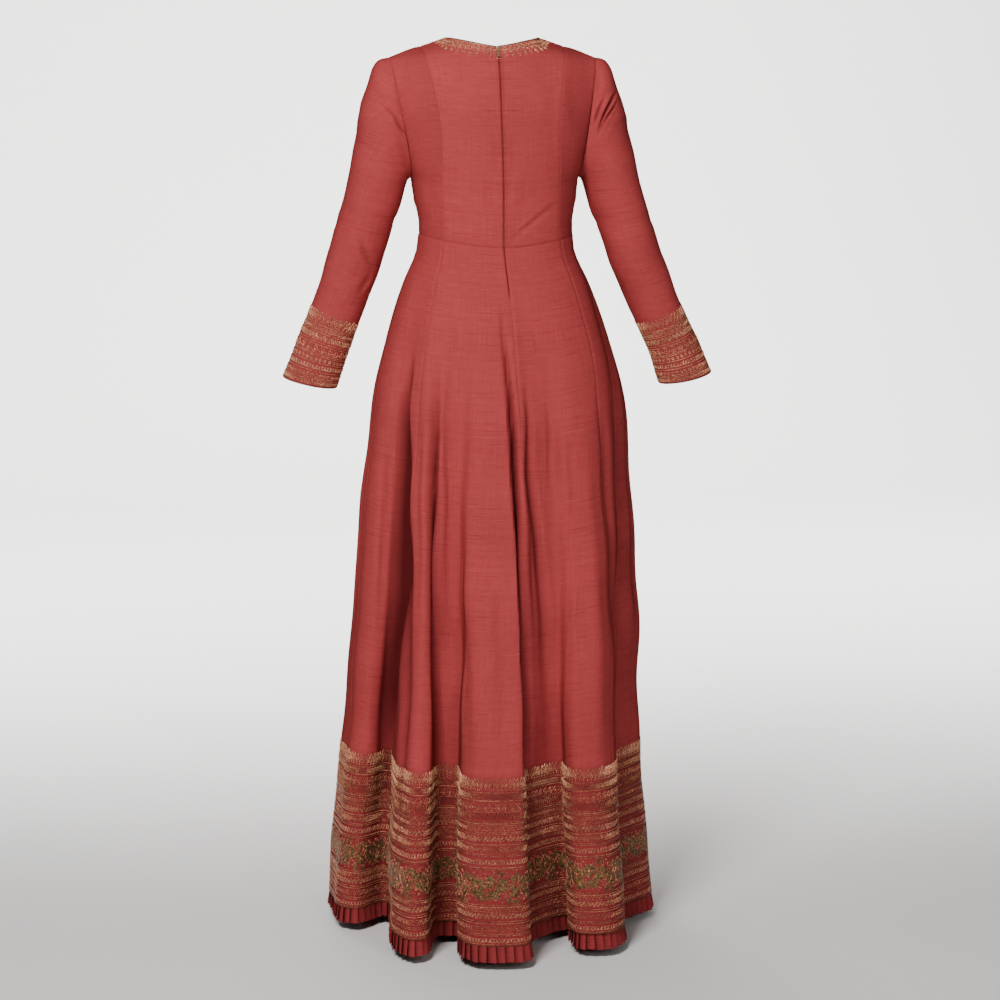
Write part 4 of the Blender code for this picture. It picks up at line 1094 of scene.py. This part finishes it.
def paisley(tall):
    # a hooked drop, outlined, with a filled heart
    spine = np.array([(0, 0), (0.28, 0.1), (0.42, 0.34), (0.34, 0.62), (0.12, 0.82), (-0.1, 0.98),
                      (-0.26, 0.86), (-0.1, 0.72), (-0.24, 0.5), (-0.36, 0.26), (-0.24, 0.06)]) * tall
    heart = domed(ellipse(0.3 * tall, 0.36 * tall, 7, 0.02 * tall, 0.34 * tall), 0.8)
    return joined([corded(spine, 1.3, 0.8, True), heart])


# Rows all round a band: total is its length; up, low and high are heights above its edge

def spaced(total, pitch, offset=0.0):
    count = max(1, round(total / pitch))
    return (np.arange(count) + offset) * total / count


def motifRow(total, up, shape, pitch, offset=0.0, angle=0.0, size=1.0):
    return stamped(shape, spaced(total, pitch, offset), up, angle, size)


def longLine(total, up, width=1.2, height=0.8, step=4.0, wander=0.25, wave=None):
    along = np.linspace(0, total, int(total / step))
    line = up + rng.normal(0, wander, len(along)) * 0.5
    if wave:
        tall, pitch = wave
        line = line + tall * np.sin(along * 2 * np.pi / (total / round(total / pitch)))
    return corded(stack(along, line), width, height)


def pairedLine(total, up, gap, width):
    return joined([longLine(total, up + rise, width, 0.75) for rise in (0, gap)])


def bentLine(total, rises, pitch, width, height):
    # a line through the same few heights over and over: two make a zigzag, and an arch's make scallops
    count = len(rises) * round(total / pitch) + 1
    return corded(stack(np.linspace(0, total, count), np.resize(rises, count)), width, height)


def dropRow(total, up, pitch, scale=1.0):
    # stalked drops side by side, each outlined round a small filled heart, with dots between their feet
    tall, wide, stalk = 15, 6.2, 4
    outline = dropOutline(tall, wide, 10) + np.array([0, stalk])
    heart = dropOutline(tall * 0.4, wide * 0.36, 6) + np.array([0, stalk + 2.2])
    motif = joined([corded(outline, 1.5, 0.9, True), domed(heart, 0.9),
                    corded([(0, -0.8), (0, stalk + 1)], 1.4, 0.7)])
    return joined([motifRow(total, up, motif, pitch, 0, 0, scale),
                   motifRow(total, up + 1.6 * scale, bead(1.9, 0.8), pitch, 0.5, 0, scale)])


def ringRow(total, up, radius, pitch, dot=1.7, between=True):
    ring = corded(ellipse(2 * radius, 2 * radius, 9), 1.15, 0.75, True)
    parts = [motifRow(total, up, ring, pitch), motifRow(total, up, bead(dot, 0.9), pitch)]
    for shift in (-0.75, 0.75) if between else ():
        parts.append(motifRow(total, up + shift * radius, bead(1.5, 0.7, 5), pitch, 0.5))
    return joined(parts)


def loopRow(total, low, high, pitch):
    # a lace of leaning loops, each with a bead in it
    tall = high - low
    loop = corded(ellipse(pitch * 0.72, tall * 0.94, 8, 0, tall / 2), 1.15, 0.75, True)
    heart = domed(ellipse(1.5, tall * 0.4, 6, 0, tall / 2), 0.8)
    return motifRow(total, low, joined([loop, heart]), pitch, 0, 0.22)


def scrollRow(total, low, high, pitch):
    # a running stem with a curl and a leaf in turn, above it and below it
    tall, middle, width = high - low, (low + high) / 2, 1.2
    curl = corded(arc(tall * 0.24, -120, 190, 7, tall * 0.2), width, 0.75)
    above = joined([curl, turned(domed(dropOutline(tall * 0.5, 2.3, 6), 0.85), 0.8, pitch * 0.16)])
    return joined([longLine(total, middle, width, 0.7, pitch / 4, 0.1, (tall * 0.2, pitch)),
                   motifRow(total, middle, above, pitch),
                   motifRow(total, middle, above, pitch, 0.5, math.pi)])


def featherRow(total, low, high, pitch, lean=0.5):
    # leaning leaves in pairs, point up, with red cloth between them
    tall = high - low
    petal = domed(dropOutline(tall * 0.98, 2.0, 6), 0.85)
    pairs = [motifRow(total, low, turned(petal, angle), pitch) for angle in (lean, -lean)]
    return joined(pairs + [motifRow(total, low + tall * 0.22, bead(1.4, 0.7, 5), pitch, 0.5)])


def scattered(total, low, high, count, seed, turnSeed):
    # spread evenly but in no pattern, and turned any way: along, up and angle
    k = np.arange(count)
    up = low + (high - low) * np.mod(k * 0.6180339 + seed, 1)
    along = (k + 0.5) * total / count + np.random.default_rng(int(seed * 100) + 3).uniform(-2, 2, count)
    return along, up, np.random.default_rng(turnSeed).uniform(0, 2 * np.pi, count)


def layThreads(name, shapes, onto, material):
    vertices, tris = joined(shapes)
    finishPiece(name, onto(*vertices.T), tris, material, angle=75)
    print(name, len(tris), "triangles")


def layBands(bands, total, onto, ending="", order=None):
    # all are worked out first, as the table has them, and then laid in the order given
    made = {name: [maker(total, *sizes) for maker, *sizes in rows] for name, (_, rows) in bands.items()}
    for name in order or bands:
        layThreads(name + ending, made[name], onto, bands[name][0])


def aboveEdge(points, normals, rise):
    # along the lower edge from the first column, and up from it at the same share of the way round
    height, width = points.shape[:2]
    run = runAlong(looped(points, 1), 1)
    shares, total = run / run[:, [-1]], run[-1, -1]
    spots = np.arange(width + 1)

    def onto(along, up, lift):
        share = np.mod(along, total) / total
        rows = np.clip(np.interp(up, rise[::-1], np.arange(height)[::-1]), 0, height - 1.001)
        j = np.floor(rows).astype(int)
        b = (rows - j)[:, None]
        columns = np.zeros_like(share)
        for row in np.unique(j):
            here = j == row
            above, below = [np.interp(share[here], shares[k], spots) for k in (row, row + 1)]
            columns[here] = above + (below - above) * b[here, 0]
        i = np.floor(columns).astype(int)
        a = (columns - i)[:, None]

        def between(grid):
            near, far = [grid[j, k % width] * (1 - b) + grid[j + 1, k % width] * b for k in (i, i + 1)]
            return near * (1 - a) + far * a

        return between(points) + unit(between(normals)) * lift[:, None]
    return total, onto


lace, leaves, rings, hooks = 5.6, 8.3, 8.3, 13.5  # millimetres from one motif of the hem to the next
hemBands = {
    "zari_hem_shining": (paleZari, [
        (dropRow, 239, leaves), (bentLine, (226, 233.5), lace, 1.7, 1.0),
        (bentLine, (233.5, 226), lace, 1.7, 1.0),
        (longLine, 223.5, 1.5, 0.9), (longLine, 188.5, 1.5, 0.9), (longLine, 156.5, 1.4, 0.9),
        (longLine, 121.5, 1.5, 0.9), (longLine, 61, 1.5, 0.9), (longLine, 35.5, 1.4, 0.9),
    ]),
    "zari_hem_upper": (goldZari, [
        (longLine, 236, 1.3, 0.8), (motifRow, 208.5, paisley(11.5), hooks),
        (motifRow, 212.5, bead(2.1, 0.8), hooks, 0.5), (motifRow, 217.5, bead(1.7, 0.7), hooks, 0.5),
        (longLine, 206.4), (bentLine, (193.5, 204), lace, 1.4, 0.85),
        (bentLine, (196, 206), lace, 1.2, 0.7), (longLine, 191.5), (longLine, 185.6),
        (ringRow, 180.4, 2.7, rings),
    ]),
    "zari_hem_middle": (goldZari, [
        (pairedLine, 172.5, 2.6, 1.2), (scrollRow, 160, 170.5, 7.6), (loopRow, 144.5, 154.5, lace),
        (pairedLine, 139, 2.6, 1.2), (featherRow, 125, 137, lace), (longLine, 118.4),
        (longLine, 64.4),
    ]),
    "zari_hem_lower": (goldZari, [
        (bentLine, 55.5 + 3.8 * np.sin(np.pi * np.arange(5) / 5), lace, 1.3, 0.8), (longLine, 54),
        (scrollRow, 42.5, 52, 7.0),
        (longLine, 39), (ringRow, 27.5, 4.0, 11.0, 2.6), (pairedLine, 17, 2.8, 1.2),
        (featherRow, 5, 15.5, lace, 0.55), (longLine, 3.6, 1.2, 0.7),
    ]),
    "hem_edge_cord": (brownThread, [(longLine, 1.0, 2.0, 1.0, 4.0, 0.1)]),
}
hemFlowers = {
    "repeat": 92,
    "vine": (91.5, 1.6, 0.9, 3.0, 0.2), "vineWave": 14,
    "big": flower(8, 15, 10.5), "small": flower(7, 10.5, 8.5), "heart": bead(4.4, 1.3, 8),
    "leaf": leaf(13.5, 10),
    "curl": corded(arc(2.7, -40, 235, 6), 1.25, 0.8), "seed": domed(dropOutline(4.2, 2.2, 5), 0.8),
    # flower, share of the repeat along, height above the edge, size
    "flowers": [("big", 0, 92, 1.05), ("small", 0.27, 84, 1.0), ("big", 0.5, 95, 0.85),
                ("small", 0.76, 99, 1.05), ("small", 0.14, 104, 0.7), ("small", 0.63, 79, 0.75),
                ("small", 0.9, 77, 0.8)],
    # round the big flowers: share, height, size of a line 28 mm wide with waves in it
    "outlines": [(0, 92, 1.08), (0.5, 95, 0.88)], "outlineWide": 28, "outlineWave": 0.09,
    # millimetres along, height, turn
    "leaves": [(-22, 101, 1.0), (-17, 80, 2.3), (16, 105, -0.9), (18, 73, -2.4), (31, 99, 0.6),
               (36, 76, 2.9), (53, 108, 0.4), (60, 84, -2.0), (-30, 88, 1.5), (24, 92, -1.5)],
    # what fills the ground, between which heights, how many, and two seeds
    "filling": [("curl", 70, 114, 1700, 0.13, 5), ("seed", 69, 115, 1500, 0.57, 6)],
}


def makeHemBorder():
    points, normals = skirtGrid
    total, onto = aboveEdge(points, normals, (points[..., 2] - points[-1, :, 2]).mean(axis=1) / steepness)
    layBands(hemBands, total, onto)
    at = spaced(total, hemFlowers["repeat"])
    wide = total / len(at)
    gold = [longLine(total, *hemFlowers["vine"], (hemFlowers["vineWave"], wide / 2))]
    olive = []
    for kind, share, up, size in hemFlowers["flowers"]:
        for shape, found in ((kind, olive), ("heart", gold)):
            found.append(stamped(hemFlowers[shape], at + wide * share, up, 0, size))
    waves = hemFlowers["outlineWave"] * np.cos(8 * turns(20))[:, None]
    outline = ellipse(hemFlowers["outlineWide"], hemFlowers["outlineWide"], 20) * (1 + waves)
    for share, up, size in hemFlowers["outlines"]:
        gold.append(stamped(corded(outline, 1.2, 0.8, True), at + wide * share, up, 0, size))
    for along, up, turn in hemFlowers["leaves"]:
        olive.append(stamped(hemFlowers["leaf"], at + along, up, turn, 0.95))
    for kind, *sizes in hemFlowers["filling"]:
        gold.append(stamped(hemFlowers[kind], *scattered(total, *sizes)))
    layThreads("zari_hem_vine", gold, onto, goldZari)
    layThreads("olive_hem_flowers", olive, onto, oliveThread)


makeHemBorder()
print("hem border made")


cuffStretch = 1.075  # the cuff's rows are spaced out by this much
cuffOrder = ("zari_cuff_shining_", "zari_cuff_", "cuff_edge_cord_")
cuffBands = {
    "zari_cuff_": (paleZari, [
        (longLine, 88.2, 1.1, 0.8, 3.0), (ringRow, 84.2, 2.3, 6.6), (longLine, 79.6),
        (scrollRow, 68.5, 78, 6.6), (longLine, 66, 1.1, 0.8, 3.0), (motifRow, 51, paisley(10), 11.5),
        (motifRow, 55, bead(1.9, 0.8), 11.5, 0.5), (pairedLine, 46.6, 2.4, 1.2),
        (motifRow, 41.6, flower(5, 3.2, 2.4, 0.8), 7.6), (featherRow, 26, 35.6, 5.0),
        (longLine, 23.8), (ringRow, 18, 2.3, 7.0, 1.7, False), (pairedLine, 11.4, 2.4, 1.1),
        (loopRow, 3.4, 10, 5.0),
    ]),
    "zari_cuff_shining_": (paleZari, [
        (dropRow, 93, 7.0, 0.84), (longLine, 90.6, 1.3, 0.8, 3.0), (longLine, 62.4, 1.3, 0.8, 3.0),
        (longLine, 37, 1.3, 0.8, 3.0),
    ]),
    "cuff_edge_cord_": (brownThread, [(longLine, 1.2, 1.8, 0.9, 3.0, 0.1)]),
}
for cuffWord, (points, normals) in sleeveGrids.items():
    down = runAlong(points, 0).mean(axis=1)
    total, onto = aboveEdge(points, normals, (down[-1] - down) / cuffStretch)
    layBands(cuffBands, total, onto, cuffWord, cuffOrder)
print("cuffs made")


neckPitch = 8.8  # millimetres from one drop of the neck band to the next


def necklineMap(grids):
    # along the neckline from centre back by the wearer's left, and down from it on the cloth
    vertices, faces = [], []
    for points, _ in grids:
        index = np.arange(points[..., 0].size).reshape(points.shape[:2])
        faces += (gridFaces(index, False) + len(vertices)).tolist()
        vertices += points.reshape(-1, 3).tolist()
    surface = BVHTree.FromPolygons(vertices, faces)
    share = garment["neckHalf"] / garment["princessTop"] * np.sin(np.linspace(0, math.pi / 2, 40))
    behind, ahead = necklinePoint(1, share), necklinePoint(-1, share)
    half = np.concatenate([behind, ahead[::-1][1:]])
    loop = swayed(np.concatenate([half, (half * np.array([-1, 1, 1]))[::-1][1:-1]]))
    run = runAlong(looped(loop, 0), 0)

    def nearest(point, outward):
        # the place on the cloth and its normal, on the side that the given vector points to
        found, normal, _, _ = surface.find_nearest(Vector(point))
        normal = np.array(normal)
        return np.array(found), -normal if np.dot(normal, outward) < 0 else normal

    away = []
    for point, along in zip(loop, unit(slope(loop, 0, True))):
        out = unit(np.cross(nearest(point + np.array([0, 0, -4.0]), point)[1], along))
        away.append(-out if np.dot(out, point * np.array([1, 1, 0]) + np.array([0, 0, -40])) < 0 else out)
    away = unit(np.array(away) + 0.5 * np.roll(away, 1, axis=0) + 0.5 * np.roll(away, -1, axis=0))

    def onto(along, down, lift):
        spot = np.interp(np.mod(along, run[-1]), run, np.arange(len(run)))
        i = np.floor(spot).astype(int)
        a = (spot - i)[:, None]
        i, k = i % len(loop), (i + 1) % len(loop)
        guess = loop[i] * (1 - a) + loop[k] * a + (away[i] * (1 - a) + away[k] * a) * down[:, None]
        laid = []
        for point, height in zip(guess, lift):
            found, normal = nearest(point, point + np.array([0, 0, 120.0]))
            laid.append(found + normal * height)
        return np.array(laid)
    return run[-1], run[len(behind) - 1], onto


def makeNeckBand():
    grids = [bodiceGrids[name] for name in ("front_centre", "back_centre_left", "back_centre_right")]
    total, shoulder, onto = necklineMap(grids)
    along = spaced(total, neckPitch)
    near = bell((np.minimum(along, total - along) - shoulder) / 30)  # the drops shrink at the shoulders
    ring = corded(ellipse(6.6, 6.6, 9), 1.2, 0.7, True)
    layBands({
        "zari_neckline": (paleZari, [
            (longLine, 2.2, 1.3, 0.8, 3.0), (motifRow, 7.2, ring, neckPitch),
            (motifRow, 7.2, bead(2.4, 0.9), neckPitch), (motifRow, 4.6, bead(2.0, 0.8), neckPitch, 0.5),
            (motifRow, 9.8, bead(2.0, 0.8), neckPitch, 0.5), (longLine, 11.8, 1.2, 0.7, 3.0),
            (ringRow, 15.2, 2.5, neckPitch, 1.8), (dropRow, 18.5 - 2 * near, neckPitch, 0.58 - 0.2 * near),
        ]),
        "neck_edge_cord": (brownThread, [(longLine, -0.1, 1.8, 1.1, 3.0, 0.0)]),
    }, total, onto)


makeNeckBand()
print("neckline made")


# Stage: pale floor, soft boxes and the camera at the photograph's angle

stage = {
    "floor": "#ECEAE8", "floorDrop": 14,  # millimetres under the frill
    "front": 6500, "halfWidth": 6500,
    "wall": -7000, "wallTop": 2200, "curve": 2200,  # the floor curves up into a wall far behind the garment
    "aim": (0, 0, -732), "distance": 4700,
    "turn": 8, "pitch": 8,  # degrees
    "offCentre": 12.8,  # millimetres that the view is moved right
    "lens": 105.7,
    "lights": [
        # name, place in metres, aimed at, size, power, spread in degrees
        ("keySoftbox", (1.35, 2.7, 2.0), (0, 0, -0.4), 1.0, 168, 180),
        ("fillSoftbox", (-1.2, 4.4, 0.6), (0, 0, -0.6), 1.6, 38, 180),
        ("frontSoftbox", (0.5, -2.1, 1.0), (0, 0, -0.7), 1.4, 22, 180),
        ("wallSoftboxLeft", (2.4, -1.9, 2.2), (0.2, -5.6, -1.0), 1.6, 370, 130),
        ("wallSoftboxRight", (-3.0, -1.9, 2.2), (-1.0, -5.6, -1.0), 1.6, 370, 130),
    ],
    "world": ("#FFFFFF", 0.07),
}


def floorLine():
    # depth and height, from in front of the camera to the top of the wall
    height, curve, wall = garment["frillEnd"] - stage["floorDrop"], stage["curve"], stage["wall"]
    turn = np.radians(np.linspace(0, 90, 17))
    bend = stack(wall + curve - curve * np.sin(turn), height + curve - curve * np.cos(turn))
    return np.concatenate([[(stage["front"], height)], bend, [(wall, stage["wallTop"])]])


def aimed(name, data, place, towards):
    holder = addObject(name, data)
    holder.location = place
    holder.rotation_euler = towards.to_track_quat("-Z", "Y").to_euler()
    return holder


def makeStage():
    floorMaterial, _ = newMaterial("paintedFloor", {"Roughness": 0.85, "Base Color": linear(stage["floor"])})
    line = floorLine()
    vertices = [(x, y, z) for y, z in line for x in (-stage["halfWidth"], stage["halfWidth"])]
    faces = [(2 * i, 2 * i + 1, 2 * i + 3, 2 * i + 2) for i in range(len(line) - 1)]
    addObject("studioFloor", newMesh("studioFloor", vertices, faces, floorMaterial))
    for name, place, aim, wide, power, spread in stage["lights"]:
        lamp = bpy.data.lights.new(name, "AREA")
        lamp.size, lamp.energy, lamp.spread = wide, power, math.radians(spread)
        aimed(name, lamp, place, Vector(aim) - Vector(place))
    world = bpy.data.worlds.new("studioWorld")
    world.use_nodes = True
    background = world.node_tree.nodes["Background"]
    background.inputs["Color"].default_value = linear(stage["world"][0])
    background.inputs["Strength"].default_value = stage["world"][1]
    bpy.context.scene.world = world
    turn, pitch = math.radians(stage["turn"]), math.radians(stage["pitch"])
    towards = Vector((math.sin(turn) * math.cos(pitch), math.cos(turn) * math.cos(pitch), math.sin(pitch)))
    right = Vector((-math.cos(turn), math.sin(turn), 0))
    camera = bpy.data.cameras.new("camera")
    camera.lens, camera.sensor_width, camera.clip_end = stage["lens"], 36, 100
    place = (Vector(stage["aim"]) + towards * stage["distance"] + right * stage["offCentre"]) * mm
    bpy.context.scene.camera = aimed("camera", camera, place, -towards)


makeStage()
print("stage made")
